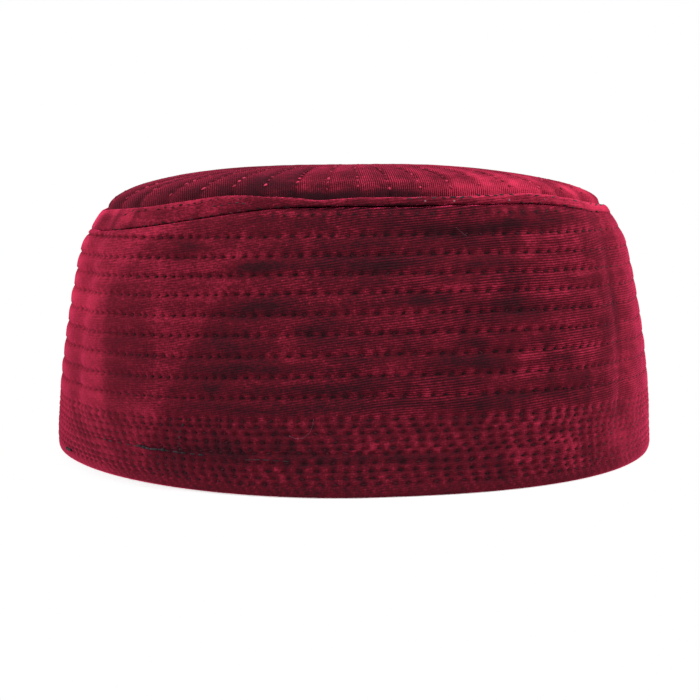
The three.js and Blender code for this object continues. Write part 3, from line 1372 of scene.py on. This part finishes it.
@dataclass
class Crown:
    """The low domed top, with short sewn spokes that run in from its edge.

    Attributes:
        form: The cap's form.
        columns: How many points go round the cap.
        spokes: How many sewn spokes there are.
        sink: How deep a spoke pulls the cloth in.
        long_end: How near the middle every other spoke runs, as a share of the way out.
        short_end: The same for the spokes between.
        fade: Over what share of the way out the sewing fades.
        stitch: Distance from stitch to stitch along a spoke.
        slope: Length of the way from the edge to the middle.
        edge_girth: Length of the crown's edge, as a share of the band's girth.
        groove_width: Half width of a spoke's groove.
        line_shades: Shade of a groove between its stitches, on the left and on the right.
        pull_shades: How dark it is at a stitch, on the left and on the right.
        right_zone: Where along X the left looks turn into the right ones.
        panel_shade: How much the panels between the spokes differ in shade.
        panel_wave: How much painted light and shade changes across each panel, as on a pleat.
        gape_depth: How deep the edge sinks where the seam gapes.
        gape_shade: How much painted shade lies there.
        edge_rings: Rings of points near the edge.
        edge_part: Share of the way in that they cover.
        edge_crowding: How closely they crowd at the edge.
        middle_rings: Rings of points from there to the middle.
        middle_from: Where these start, as a share of the way out.
        inner_s: Rings of the inner face, as shares of the way out.
        left_shade: Painted shade on the left of the crown, away from the light.
        right_painted_light: Painted light on the right of the crown, towards the light.
        shade_zone: Where along X the one turns into the other.
        dull_end: Where along X the painted shade that tones down the right end starts and where it is full.
        dull_shade: How much darker it is.
        dark_spot: X and Y of a dark spot in front.
        dark_spot_size: Its half lengths along X and Y.
        dark_spot_shade: How dark it is.
    """

    form: CapForm
    columns: int = 720
    spokes: int = 52
    sink: float = 0.6
    long_end: float = 0.2
    short_end: float = 0.55
    fade: float = 0.15
    stitch: float = 2.7
    slope: float = 78.0
    edge_girth: float = 0.9
    groove_width: float = 0.9
    line_shades: Range = (0.35, -0.1)
    pull_shades: Range = (0.5, 0.3)
    right_zone: Range = (5.0, 35.0)
    panel_shade: float = 0.3
    panel_wave: float = 0.25
    gape_depth: float = 0.5
    gape_shade: float = 1.2
    edge_rings: int = 24
    edge_part: float = 0.25
    edge_crowding: float = 1.3
    middle_rings: int = 34
    middle_from: float = 0.73
    inner_s: tuple[float, ...] = (0.0, 0.15, 0.3, 0.45, 0.6, 0.75, 0.85, 0.93, 0.98, 1.0)
    left_shade: float = -0.55
    right_painted_light: float = 0.72
    shade_zone: Range = (-25.0, 50.0)
    dull_end: Range = (58.0, 80.0)
    dull_shade: float = 0.5
    dark_spot: Range = (-31.0, -60.0)
    dark_spot_size: Range = (10.0, 14.0)
    dark_spot_shade: float = 0.6

    def reach(self, place: Array) -> Array:
        """How near the middle each spoke's sewing ends, as a share of the way out."""
        return np.where(np.round(place) % 2 == 0, self.long_end, self.short_end)

    def build(self) -> bpy.types.Object:
        """The crown as one closed shell with a turned-down edge.

        Returns:
            The piece.
        """
        share = np.linspace(0, 1, self.columns + 1)
        turn = self.form.turns(share, self.form.band_height)
        foot = self.form.seam(turn) + self.form.sewn_gap
        edge_s = 1 - self.edge_part * np.linspace(0, 1, self.edge_rings) ** self.edge_crowding
        outer_s = np.concatenate([edge_s, np.linspace(self.middle_from, 0.0, self.middle_rings)])
        hidden = [self.form.dome(turn, s, self.form.crown_cloth) for s in self.inner_s]
        hidden += [self.form.crown_edge(turn, foot, depth) for depth in (self.form.crown_cloth, 0.0)]
        place = self.form.shares(turn, self.form.band_height) * self.spokes + 0.5
        gaping = self.form.gaping(turn)
        rightness = smooth(self.form.plan(turn, self.form.band_height)[0], *self.right_zone)
        most = self.panel_shade
        panel_shades = np.random.default_rng(63).uniform(-most, most, self.spokes + 1)
        panel = panel_shades[np.floor(place).astype(int) % self.spokes]
        # Painted light and shade across each panel, as on a pleat beside each seam.
        panel = panel + self.panel_wave * np.sin(TAU * place)
        over, naps = [], []
        for s in outer_s:
            gap = (place - np.round(place)) * GIRTH * self.edge_girth / self.spokes * s
            sewn = smooth(s, self.reach(place), self.reach(place) + self.fade)
            from_edge = (1 - s) * self.slope
            pull = pitted(from_edge / self.stitch + 0.4 * np.round(place), self.stitch, 0.9)
            groove = fade(gap, self.groove_width)
            depth = self.sink * sewn * (groove * (0.55 + 0.45 * pull) - 0.25)
            depth = depth - SoftNoise(61, 9, 7, 0.12).at(share, from_edge) * (s > 0.03)
            depth = depth - self.gape_depth * gaping * bell(s - 0.955, 0.02)
            over.append(self.form.dome(turn, s, np.maximum(depth, -0.6) * smooth(s, 0.0, 0.1)))
            line = mix(*self.line_shades, rightness) * (1 - pull) - mix(*self.pull_shades, rightness) * pull
            # The term near the edge on the right is painted light.
            nap = sewn * (groove * line + panel) + 0.5 * rightness * smooth(s, 0.9, 0.97)
            # Painted shade where the seam gapes.
            naps.append(nap - self.gape_shade * gaping * smooth(s, 0.985, 0.995))
        x, y = np.array(over)[..., 0], np.array(over)[..., 1]
        # Painted light and shade across the crown, darker on the left and lighter on the right.
        naps = np.array(naps) + mix(self.left_shade, self.right_painted_light, smooth(x, *self.shade_zone))
        # Painted shade that tones down the right end.
        naps = naps - self.dull_shade * smooth(x, *self.dull_end)
        spot_x, spot_y = self.dark_spot
        near_spot = bell(x - spot_x, self.dark_spot_size[0]), bell(y - spot_y, self.dark_spot_size[1])
        naps = naps - self.dark_spot_shade * near_spot[0] * near_spot[1]
        points = np.array(hidden + over)
        quiet = np.zeros((len(hidden), len(turn)))
        return Shell(points, np.concatenate([quiet, naps]), points[..., 0]).build("domed_crown")

    def stitches(self) -> bpy.types.Object:
        """The raised stitches along the spokes.

        Returns:
            The piece.
        """
        rng = np.random.default_rng(71)
        spoke_turns = self.form.turns((np.arange(self.spokes) + 0.5) / self.spokes, self.form.band_height)
        centre, inward, number, pile = [], [], [], []
        for k, turn in enumerate(spoke_turns):
            end = float(self.reach(np.array(k + 1.0)))
            s = np.arange(0.985, end + self.fade, -self.stitch / self.slope)
            s = s - rng.uniform(0, 0.5) * self.stitch / self.slope
            s = s[rng.uniform(0, 1, s.shape) < 0.85]
            centre.append(self.form.dome(turn, s, 0.15))
            inward.append(unit(self.form.dome(turn, s - 0.01, 0.15) - centre[-1]))
            number.append(np.full(s.shape, turn))
            pile.append(rng.uniform(-0.55, 0.85, s.shape) - 0.5 * (1 - smooth(s, 0.8, 0.92)))
        centre, inward, number = (np.concatenate(found) for found in (centre, inward, number))
        side = unit(np.stack([-np.sin(number), np.cos(number), np.zeros(number.shape)], -1))
        out = unit(np.cross(side, inward))
        out = out * np.sign(out[:, 2:])
        count = len(centre)
        half_size = np.stack([
            rng.uniform(0.4, 0.85, count),
            rng.uniform(0.22, 0.48, count),
            np.full(count, 0.32),
        ], -1)
        spots = Spots(centre, inward, np.cross(out, inward), out).turned(rng.normal(0, 0.4, count))
        return thread_knots("crown_stitches", spots, half_size, np.concatenate(pile))


def operator(kind: str) -> Callable[["Term", Any], "Term"]:
    """A Python operator on shader values, made from a kind of Math node."""
    return lambda term, other: term.maths(kind, other)


class Term:
    """A shader value that takes part in Python arithmetic, where each operation adds a Math node."""

    def __init__(self, graph: "Graph", socket: bpy.types.NodeSocket) -> None:
        """Wraps an output socket of a graph."""
        self.graph = graph
        self.socket = socket

    def maths(self, operation: str, *others: Any) -> "Term":
        """A Math node of this value and others."""
        node = self.graph.node("ShaderNodeMath", {"operation": operation}, dict(enumerate((self, *others))))
        return Term(self.graph, node.outputs[0])

    __add__ = __radd__ = operator("ADD")
    __mul__ = __rmul__ = operator("MULTIPLY")
    __sub__ = operator("SUBTRACT")
    __pow__ = operator("POWER")

    def __rsub__(self, other: Any) -> "Term":
        """Another value less this one."""
        return self.maths("MULTIPLY", -1) + other

    def between(self, low: float, high: float) -> "Term":
        """A smooth step of this value, 0 up to low and 1 from high.

        Args:
            low: Where the step starts.
            high: Where it ends.

        Returns:
            The step, from 0 to 1.
        """
        settings = {"interpolation_type": "SMOOTHSTEP"}
        sockets = {"Value": self, "From Min": low, "From Max": high}
        return Term(self.graph, self.graph.node("ShaderNodeMapRange", settings, sockets).outputs["Result"])


class Graph:
    """The node tree of a material or a world, with one method that adds any node."""

    def __init__(self, owner: bpy.types.Material | bpy.types.World) -> None:
        """Clears the owner's nodes and starts again.

        Args:
            owner: The material or the world.
        """
        owner.use_nodes = True
        self.tree = owner.node_tree
        self.tree.nodes.clear()

    def node(self, kind: str, settings: dict[str, Any], sockets: dict[Any, Any]) -> bpy.types.Node:
        """Adds one node.

        Args:
            kind: The node's type.
            settings: Its properties, set before its sockets.
            sockets: Values or links of its inputs, by name, identifier or number.

        Returns:
            The node.
        """
        made = self.tree.nodes.new(kind)
        for name, value in settings.items():
            setattr(made, name, value)
        by_identifier = {socket.identifier: socket for socket in made.inputs}
        for key, value in sockets.items():
            socket = made.inputs[key] if isinstance(key, int) else by_identifier.get(key) or made.inputs[key]
            if isinstance(value, Term):
                self.tree.links.new(value.socket, socket)
            elif isinstance(value, bpy.types.NodeSocket):
                self.tree.links.new(value, socket)
            else:
                socket.default_value = value
        return made

    def object_place(self) -> bpy.types.NodeSocket:
        """Place on the cap, in metres."""
        return self.node("ShaderNodeTexCoord", {}, {}).outputs["Object"]

    def parts(self, vector: bpy.types.NodeSocket) -> tuple[Term, Term, Term]:
        """The three parts of a vector."""
        split = self.node("ShaderNodeSeparateXYZ", {}, {"Vector": vector})
        return tuple(Term(self, output) for output in split.outputs)

    def across_ribs(self) -> Term:
        """Place across the cloth's ribs, in metres."""
        return self.parts(self.node("ShaderNodeUVMap", {"uv_map": CLOTH_MAP}, {}).outputs["UV"])[1]

    def attribute(self, name: str) -> Term:
        """A number that the mesh carries."""
        return Term(self, self.node("ShaderNodeAttribute", {"attribute_name": name}, {}).outputs["Fac"])

    def noise(self, place: bpy.types.NodeSocket, lumps: Colour, detail: float) -> Term:
        """Noise, mostly from 0.3 to 0.7.

        Args:
            place: Where it is read.
            lumps: Size of its lumps along x, y and z, in mm.
            detail: How much finer detail it has.

        Returns:
            Its value.
        """
        scale = tuple(1 / (size * MM) for size in lumps)
        stretched = self.node("ShaderNodeMapping", {}, {"Vector": place, "Scale": scale}).outputs["Vector"]
        made = self.node("ShaderNodeTexNoise", {}, {"Vector": stretched, "Scale": 1.0, "Detail": detail})
        return Term(self, made.outputs[0])

    def blend(self, factor: Term, first: Any, second: Any) -> bpy.types.NodeSocket:
        """A colour between two others.

        Args:
            factor: 0 for the first colour and 1 for the second.
            first: The first.
            second: The second.

        Returns:
            The colour's socket.
        """
        sockets = {"Factor_Float": factor, "A_Color": first, "B_Color": second}
        made = self.node("ShaderNodeMix", {"data_type": "RGBA"}, sockets)
        return next(output for output in made.outputs if output.identifier == "Result_Color")

    def bump(self, height: Term, strength: float, distance: float) -> bpy.types.NodeSocket:
        """A surface direction from a relief whose depth is given in mm."""
        sockets = {"Strength": strength, "Distance": distance * MM, "Height": height}
        return self.node("ShaderNodeBump", {}, sockets).outputs["Normal"]

    def cloth(self, sockets: dict[str, Any]) -> None:
        """Joins a Principled shader with these inputs to the output."""
        self.finish(self.node("ShaderNodeBsdfPrincipled", {}, sockets).outputs["BSDF"])

    def finish(self, shader: bpy.types.NodeSocket, kind: str = "ShaderNodeOutputMaterial") -> None:
        """Joins a shader to the output."""
        self.node(kind, {}, {"Surface": shader})


def opaque(colour: Colour) -> tuple[float, float, float, float]:
    """A colour with its alpha."""
    return (*colour, 1.0)


class Velvet(Enum):
    """What makes velvet uneven: size of its lumps in mm along x, y and z, and detail."""

    STREAKS = ((26, 26, 5), 1.5)
    BLOTS = ((9, 9, 2.6), 1)
    BRUSHED = ((4.5, 4.5, 17), 2)
    BROKEN = ((2.2, 2.2, 0.8), 2)
    DASHES = ((1.1, 1.1, 0.4), 1)
    GRAIN = ((0.42, 0.42, 0.34), 1)
    THREADS = ((0.36, 0.36, 1.5), 1)
    WANDER = ((38, 38, 30), 1)
    WORN = ((22, 22, 9), 2)


class Zone(Enum):
    """Where the looks change on the cap: start and end of each change along one axis, in metres."""

    ENDS = (0.054, 0.088)
    HIDDEN = (-0.012, 0.03)
    CLOSE_ROWS = (0.0205, 0.0245)
    LEFT_PART = (-0.06, 0.0)
    BRUSHED = (-0.05, 0.04)
    TOP_RIGHT = (0.03, 0.06)
    TOP = (0.062, 0.074)
    RIGHT_PART = (-0.01, 0.03)
    FINE_FROM = (-0.055, -0.01)


@dataclass(frozen=True)
class VelvetFinish:
    """Ribbed velvet: dark down its pile, light where the pile leans, with a bright sheen at a slant.

    Attributes:
        name: The material's name.
        deep: Colour deep in the pile.
        body: Colour of most of the cloth.
        glow: Colour of the lightest pile, also reached where painted sheen and highlights are added.
        sheen: Strength of the sheen.
        sheen_roughness: How wide the sheen spreads.
        sheen_tint: Its colour.
        rib_pitch: Distance from rib to rib, in mm.
        rib_tone: How much darker the lines between the ribs are.
        lean: How far the ribs climb for each mm along +X, on the -X side and on the +X side.
        rib_wave: How much the ribs break up.
        ribs_from: Where along X the ribs start to show and where they show in full, in mm.
        mottle: How uneven the pile is.
        grain: How rough its finest detail is.
        lift: How much lighter the whole cloth is.
        rib_wander: How far the ribs wander, in mm.
        bump: Strength of the relief.
        bump_depth: Its depth, in mm.
    """

    name: str
    deep: Colour = (0.021, 0.0058, 0.0085)
    body: Colour = (0.066, 0.0057, 0.011)
    glow: Colour = (0.39, 0.022, 0.055)
    sheen: float = 1.0
    sheen_roughness: float = 0.3
    sheen_tint: Colour = (1.0, 0.06, 0.175)
    rib_pitch: float = 0.69
    rib_tone: float = 0.68
    lean: Range = (0.14, 0.09)
    rib_wave: float = 2.4
    ribs_from: Range = (-45.0, 20.0)
    mottle: float = 0.8
    grain: float = 1.0
    lift: float = 0.0
    rib_wander: float = 2.5
    bump: float = 0.9
    bump_depth: float = 0.16

    def material(self) -> bpy.types.Material:
        """Builds the material's nodes.

        Returns:
            The material.
        """
        made = bpy.data.materials.new(self.name)
        g = Graph(made)
        place = g.object_place()
        x, y, z = g.parts(place)
        noise = {kind: g.noise(place, *kind.value) for kind in Velvet}
        broken, dashes, threads = noise[Velvet.BROKEN], noise[Velvet.DASHES], noise[Velvet.THREADS]
        grain = noise[Velvet.GRAIN]
        ends = x.maths("ABSOLUTE").between(*Zone.ENDS.value)
        calm = 1.0 - ends * (1.0 - y.between(*Zone.HIDDEN.value)) * 0.65
        close = 1.0 - z.between(*Zone.CLOSE_ROWS.value)

        even, odd = (self.lean[0] + self.lean[1]) / 2, (self.lean[1] - self.lean[0]) / 2
        climb = x * even + x.maths("ABSOLUTE") * odd
        rib_line = g.across_ribs() - climb + (noise[Velvet.WANDER] - 0.5) * (self.rib_wander * MM)
        rib_line = rib_line * (TAU / (self.rib_pitch * MM))
        rib = (rib_line + (broken - 0.5) * calm * self.rib_wave).maths("SINE")
        shown_part = x.between(*(end * MM for end in self.ribs_from)) * 0.7 + 0.3
        shown_part = shown_part * calm * (1.0 - close * 0.8)
        clear = (noise[Velvet.WORN].between(0.3, 0.6) * 0.75 + 0.25) * shown_part
        clear = clear * (1.0 - x.between(*Zone.TOP_RIGHT.value) * z.between(*Zone.TOP.value) * 0.5)
        groove = (0.5 - rib * 0.5) ** 1.3

        uneven = (noise[Velvet.STREAKS] - 0.5) * self.mottle + (noise[Velvet.BLOTS] - 0.5) * self.mottle
        uneven = uneven * (x.between(*Zone.LEFT_PART.value) * 0.3 + 0.7)
        brushed = (noise[Velvet.BRUSHED] - 0.5) * x.between(*Zone.BRUSHED.value)
        uneven = uneven + brushed * (1.2 * self.mottle)
        fine = (broken - 0.5) * (close * 0.1 + 0.35) + (dashes - 0.5) * (1.0 - close * 0.3)
        fine = fine + (grain - 0.5) * 0.6 + (threads - 0.5) * 0.6
        fine = fine * calm * (1.0 - x.between(*Zone.RIGHT_PART.value) * 0.3)
        fine = fine * (x.between(*Zone.FINE_FROM.value) * 0.2 + 0.8)

        tone = 0.5 + self.lift + g.attribute(PILE_AND_PAINTED_LIGHT) * 0.5 + uneven * (0.9 - ends * 0.5) * (1.0 - close * 0.4)
        tone = tone + fine * self.grain
        tone = tone + (0.4 - groove) * clear * self.rib_tone
        lower = g.blend(tone.between(-0.15, 0.55), opaque(self.deep), opaque(self.body))
        relief = rib * clear * 0.6 + broken * 0.5 + dashes * 0.6 + grain * 0.4 + threads * 0.3
        g.cloth({
            "Base Color": g.blend(tone.between(0.4, 1.75), lower, opaque(self.glow)),
            "Roughness": 1.0 - tone * 0.2,
            "Normal": g.bump(relief, self.bump, self.bump_depth),
            "Specular IOR Level": 0.0,
            "Sheen Weight": self.sheen,
            "Sheen Roughness": self.sheen_roughness,
            "Sheen Tint": opaque(self.sheen_tint),
        })
        return made


@dataclass(frozen=True)
class ThreadFinish:
    """Sewing thread, with fine twist and a lightness that each stitch carries."""

    name: str
    dark: Colour
    light: Colour
    roughness: float = 0.7
    gloss: float = 0.05
    twist: Colour = (0.35, 0.35, 0.35)

    def material(self) -> bpy.types.Material:
        """Builds the material's nodes.

        Returns:
            The material.
        """
        made = bpy.data.materials.new(self.name)
        g = Graph(made)
        grain = g.noise(g.object_place(), self.twist, 2)
        tone = g.attribute(PILE_AND_PAINTED_LIGHT) * 0.5 + grain
        g.cloth({
            "Base Color": g.blend(tone.between(0.2, 1.1), opaque(self.dark), opaque(self.light)),
            "Roughness": grain * 0.3 + (self.roughness - 0.15),
            "Normal": g.bump(grain, 0.6, 0.08),
            "Specular IOR Level": self.gloss,
        })
        return made


class Softbox(Enum):
    """The studio's lights: place in metres, size in metres and power in watts."""

    LEFT = ((-0.85, -0.12, 0.3), (0.7, 0.7), 13.0)
    RIGHT = ((0.85, -0.12, 0.34), (0.7, 0.7), 13.0)
    ABOVE = ((0.25, -0.1, 0.95), (0.9, 0.7), 9.0)


@dataclass(frozen=True)
class Studio:
    """Pale floor, soft lights and the camera at the photograph's angle."""

    camera_heading: float = 0.071
    camera_pitch: float = 0.166
    camera_roll: float = -0.011
    camera_distance: float = 380.0
    camera_height: float = 92.05
    focal_pixels: float = 1112.0
    picture_width: float = 700.0
    sensor: float = 36.0
    clip: Range = (0.01, 20.0)
    aim: Colour = (0.0, 0.0, 0.04)
    backdrop: float = 1.0
    fill: float = 0.72
    floor_radius: float = 2.4
    floor_fade: Range = (0.045, 0.115)
    floor_sides: int = 96
    floor_colour: Colour = (0.9, 0.9, 0.9)
    floor_roughness: float = 0.9

    def camera(self) -> None:
        """The camera, level with the crown and tilted down a little."""
        data = bpy.data.cameras.new("camera")
        data.sensor_width = self.sensor
        data.lens = self.focal_pixels / self.picture_width * self.sensor
        data.clip_start, data.clip_end = self.clip
        heading, pitch, roll = self.camera_heading, self.camera_pitch, self.camera_roll
        level = Vector((math.cos(heading), -math.sin(heading), 0))
        ahead = Vector((math.sin(heading), math.cos(heading), 0))
        flat = math.cos(pitch)
        forward = Vector((math.sin(heading) * flat, math.cos(heading) * flat, -math.sin(pitch)))
        top = level.cross(forward)
        right = level * math.cos(roll) + top * math.sin(roll)
        up = top * math.cos(roll) - level * math.sin(roll)
        spot = Vector((0, 0, self.camera_height)) - ahead * self.camera_distance
        made = shown("camera", data)
        turned = Matrix((right, up, -forward)).transposed().to_4x4()
        made.matrix_world = Matrix.Translation(spot * MM) @ turned
        bpy.context.scene.camera = made

    def lights(self) -> None:
        """The softboxes, each aimed at the middle of the cap."""
        for box in Softbox:
            place, size, power = box.value
            data = bpy.data.lights.new("softbox_" + box.name.lower(), "AREA")
            data.shape = "RECTANGLE"
            data.size, data.size_y = size
            data.energy = power
            lamp = shown(data.name, data)
            lamp.location = place
            lamp.rotation_euler = (Vector(self.aim) - Vector(place)).to_track_quat("-Z", "Y").to_euler()

    def world(self) -> None:
        """A white backdrop to the camera, and a dimmer soft light to the cap."""
        world = bpy.data.worlds.new("studio")
        bpy.context.scene.world = world
        g = Graph(world)
        seen = g.node("ShaderNodeLightPath", {}, {}).outputs["Is Camera Ray"]
        dim, white = (
            g.node("ShaderNodeBackground", {}, {"Color": opaque((1, 1, 1)), "Strength": strength})
            for strength in (self.fill, self.backdrop)
        )
        sockets = {0: seen, 1: dim.outputs[0], 2: white.outputs[0]}
        g.finish(g.node("ShaderNodeMixShader", {}, sockets).outputs[0], "ShaderNodeOutputWorld")

    def floor(self) -> None:
        """A round white floor that melts into the backdrop."""
        bm = bmesh.new()
        bmesh.ops.create_circle(bm, cap_ends=True, segments=self.floor_sides, radius=self.floor_radius)
        mesh = bpy.data.meshes.new("studio_floor")
        bm.to_mesh(mesh)
        bm.free()
        made = bpy.data.materials.new("white_floor")
        g = Graph(made)
        x, y, _ = g.parts(g.object_place())
        away = (x * x + y * y) ** 0.5
        white = {"Base Color": opaque(self.floor_colour), "Roughness": self.floor_roughness}
        matt = g.node("ShaderNodeBsdfPrincipled", {}, white)
        clear = g.node("ShaderNodeBsdfTransparent", {}, {})
        sockets = {0: away.between(*self.floor_fade), 1: matt.outputs[0], 2: clear.outputs[0]}
        g.finish(g.node("ShaderNodeMixShader", {}, sockets).outputs[0])
        mesh.materials.append(made)
        piece = shown("studio_floor", mesh)

    def build(self) -> None:
        """Sets up the whole studio."""
        bpy.context.scene.view_settings.view_transform = "Standard"
        self.camera()
        self.lights()
        self.world()
        self.floor()


# Patches of lighter and darker pile; two of them are painted shade, marked below.
BAND_PATCHES = (
    NapAndShadePatch(-69, 73.4, 17, 1.9, -1.25, 0.03),
    NapAndShadePatch(-86, 69.0, 26, 5.0, -0.16),
    NapAndShadePatch(-96, 36.0, 22, 8.0, -0.16),
    NapAndShadePatch(-84, 75.4, 10, 1.8, -0.6),
    NapAndShadePatch(-57, 75.4, 9, 1.1, -0.25, 0.08),
    NapAndShadePatch(-97, 75.8, 8, 1.5, -0.4),
    NapAndShadePatch(-121, 69.3, 3, 2.3, -0.5),
    NapAndShadePatch(-101, 69.6, 1.3, 3.7, 0.45),
    NapAndShadePatch(-110, 63.6, 9, 1.6, -0.9, 0.12),
    NapAndShadePatch(-86, 63.8, 10, 1.5, -0.85, 0.12),
    NapAndShadePatch(-99, 63.8, 8, 1.3, -0.4),
    NapAndShadePatch(-69, 63.8, 5, 1.8, -0.4),
    NapAndShadePatch(-108, 53.4, 8, 1.8, -1.0, 0.03),
    NapAndShadePatch(-81, 54.0, 9, 1.5, -0.5, 0.1),
    NapAndShadePatch(-66, 52.6, 4, 2.5, -0.7),
    NapAndShadePatch(-125, 55.0, 3, 14, 0.3),
    NapAndShadePatch(-129, 36.0, 9, 11, -0.45),
    NapAndShadePatch(-100, 46.2, 6, 1.8, -0.6),
    NapAndShadePatch(-114, 44.0, 8, 5, -0.5),
    NapAndShadePatch(-104, 42.4, 3, 9, 0.35),
    NapAndShadePatch(-72, 42.2, 4, 2.5, -0.6),
    NapAndShadePatch(-72, 36.4, 7, 2.2, -0.6),
    NapAndShadePatch(-110, 36.3, 14, 2.0, -0.5),
    NapAndShadePatch(-93, 35.4, 2, 2.2, -0.4),
    NapAndShadePatch(-116, 30.4, 3, 2.0, -0.7),
    NapAndShadePatch(-102, 30.7, 14, 1.8, -0.55),
    NapAndShadePatch(-90, 30.0, 6, 1.8, -0.55),
    NapAndShadePatch(-54, 30.6, 3, 2.2, -0.6),
    NapAndShadePatch(-66, 26.4, 17, 2.3, -0.35),
    NapAndShadePatch(-102, 25.4, 30, 1.9, -0.4),
    NapAndShadePatch(-54, 24.6, 3, 3.5, -0.45),
    NapAndShadePatch(-72, 23.4, 2, 2.8, -0.6),
    NapAndShadePatch(-127, 23.0, 6, 4, 0.45),
    NapAndShadePatch(-95, 20.0, 2, 3.0, -0.4),
    NapAndShadePatch(-85, 15.2, 14, 3.3, 0.3),
    NapAndShadePatch(-114, 12.8, 14, 3.5, -0.5),
    NapAndShadePatch(-90, 10.8, 17, 1.2, -0.45),
    # Painted shadow under the seam roll, where the seam gapes.
    NapAndShadePatch(-90, 79.5, 21, 0.7, -1.3),
    NapAndShadePatch(-129, 75.5, 12, 4, 0.45),
    NapAndShadePatch(-131, 64, 9, 9, 0.3),
    NapAndShadePatch(-53, 74, 10, 5, 0.22),
    NapAndShadePatch(-53, 56, 12, 15, 0.35),
    # Painted shade along the right corner fold.
    NapAndShadePatch(-45.6, 48, 1.4, 16, -0.35),
    NapAndShadePatch(-64, 12, 18, 9, 0.45),
    NapAndShadePatch(-48, 12, 12, 10, 0.45),
    NapAndShadePatch(-48, 32, 8, 8, 0.25),
)


WELT_ROWS = (
    WeltRow(-134, -112, 0.8, 2.3, 0.5, 0.9),
    WeltRow(-136, -105, 0.03, 2.9, 0.9, 0.85),
    WeltRow(-60, -38, 0.08, 3.0, 0.8, 0.7),
    WeltRow(-118, -112, 0.52, 2.3, 0.6, 0.9, Thread.GREY),
    WeltRow(-81, -38, 0.9, 2.8, 1.1, 0.8, Thread.GREY),
    WeltRow(-78, -50, 0.45, 3.0, 0.3, 0.45, Thread.PALE),
    WeltRow(5, 175, 0.9, 2.6, 0.6),
)


LOOSE_RUNS = (
    LooseRun(((-141, 12.9), (-133, 12.7), (-128, 12.4)), Thread.GREY, 3.2, 1.2, 0.14),
    LooseRun(((-130, 12.9), (-127.6, 12.2), (-124.6, 12.4)), Thread.GREY, 1.3, 1.0, 0.42),
    LooseRun(((-124.6, 12.3), (-121.7, 12.0), (-116.5, 11.7)), Thread.GREY, 2.6, 1.2, 0.26),
    LooseRun(((-110.6, 10.9), (-108, 11.1), (-103, 10.7)), Thread.GREY, 2.6, 1.3, 0.17),
    LooseRun(((-120.4, 20.8), (-121.3, 17.5), (-121.6, 12.8)), Thread.GREY, 1.9, 0.55, 0.28),
    LooseRun(((-158.5, 4.1), (-155.5, 4.3)), Thread.GREY, 0.9, 0.8, 0.5),
    LooseRun(((-99.4, 22.6), (-99.5, 20.6), (-100, 18.6), (-101, 17.2), (-102.2, 17), (-103.4, 17.9)),
             Thread.PALE, 0.7, 0.5, 0.03),
    LooseRun(((-72.8, 74.2), (-72.1, 73.0), (-71.0, 71.6)), Thread.PALE, 0.7, 0.5, 0.03),
)


# The first edge is the brushed left third; the others are painted sheen past the left and right corner
# folds.
BAND_NAP_AND_SHEEN_EDGES = (
    NapAndSheenEdge(-112, -127, 67, 15, 1.3, 0.5, -1, 26),
    NapAndSheenEdge(-127, -136, 72, 54, 1.2, 0.42, -1, 60),
    NapAndSheenEdge(-134.5, -136, 53, 24, 0.8, 0.35, -1, 60),
    NapAndSheenEdge(-44.4, -44.4, 74, 10, 0.5, 0.35, 1, 60),
)


def dress(piece: bpy.types.Object, material: bpy.types.Material, slot: str, *nodes: str) -> bpy.types.Object:
    """Gives a piece its finish and its place in the frame.

    Args:
        piece: The new piece.
        material: Its finish.
        slot: The record's material slot that it stands for; not used.
        nodes: The model's nodes that it replaces.

    Returns:
        The piece.
    """
    piece.data.materials.clear()
    piece.data.materials.append(material)
    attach(piece, BODY)
    if nodes:
        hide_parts(*nodes)
    triangles = sum(len(face.vertices) - 2 for face in piece.data.polygons)
    LOG.info("%s: %d triangles, %s", piece.name, triangles, material.name)
    return piece


def measured_form() -> CapForm:
    """The cap's form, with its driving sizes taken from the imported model.

    Returns:
        The form.
    """
    low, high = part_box("side_band")
    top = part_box("crown")[1]
    return CapForm(half_length=(high.x - low.x) / 2 / MM, half_width=(high.y - low.y) / 2 / MM,
                   crown_height=top.z / MM)


def main() -> None:
    """Builds the cap and the studio."""
    logging.basicConfig(level=logging.INFO, format="%(name)s: %(message)s")
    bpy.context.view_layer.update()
    form = measured_form()
    Studio().build()
    band = SideBand(form, BAND_PATCHES, BAND_NAP_AND_SHEEN_EDGES)
    welt = SeamWelt(form, WELT_ROWS)
    crown = Crown(form)
    band_velvet = VelvetFinish("band_velvet").material()
    welt_velvet = VelvetFinish("welt_velvet", lift=0.1, rib_tone=0.12, mottle=0.7).material()
    crown_velvet = VelvetFinish("crown_velvet", lean=(0.0, 0.0), sheen=0.3, rib_pitch=0.6, rib_tone=1.25,
                                rib_wave=0.8, ribs_from=(-95.0, -70.0), grain=0.75).material()
    threads = {thread: ThreadFinish(*thread.value).material() for thread in Thread}
    quilted = dress(band.build(), band_velvet, "band_velvet", "side_band")
    dress(band.stitches(), threads[Thread.DARK], "band_velvet")
    for thread in (Thread.GREY, Thread.PALE):
        dress(loose_threads(form, LOOSE_RUNS, thread), threads[thread], "band_velvet")
    dress(welt.build(), welt_velvet, "welt_velvet", "seam_welt")
    for thread in (Thread.DARK, Thread.GREY, Thread.PALE):
        dress(welt.stitches(thread), threads[thread], "welt_velvet")
    domed = dress(crown.build(), crown_velvet, "crown_velvet", "crown")
    dress(crown.stitches(), threads[Thread.BRIGHT], "crown_velvet")


if __name__ == "__main__":
    main()
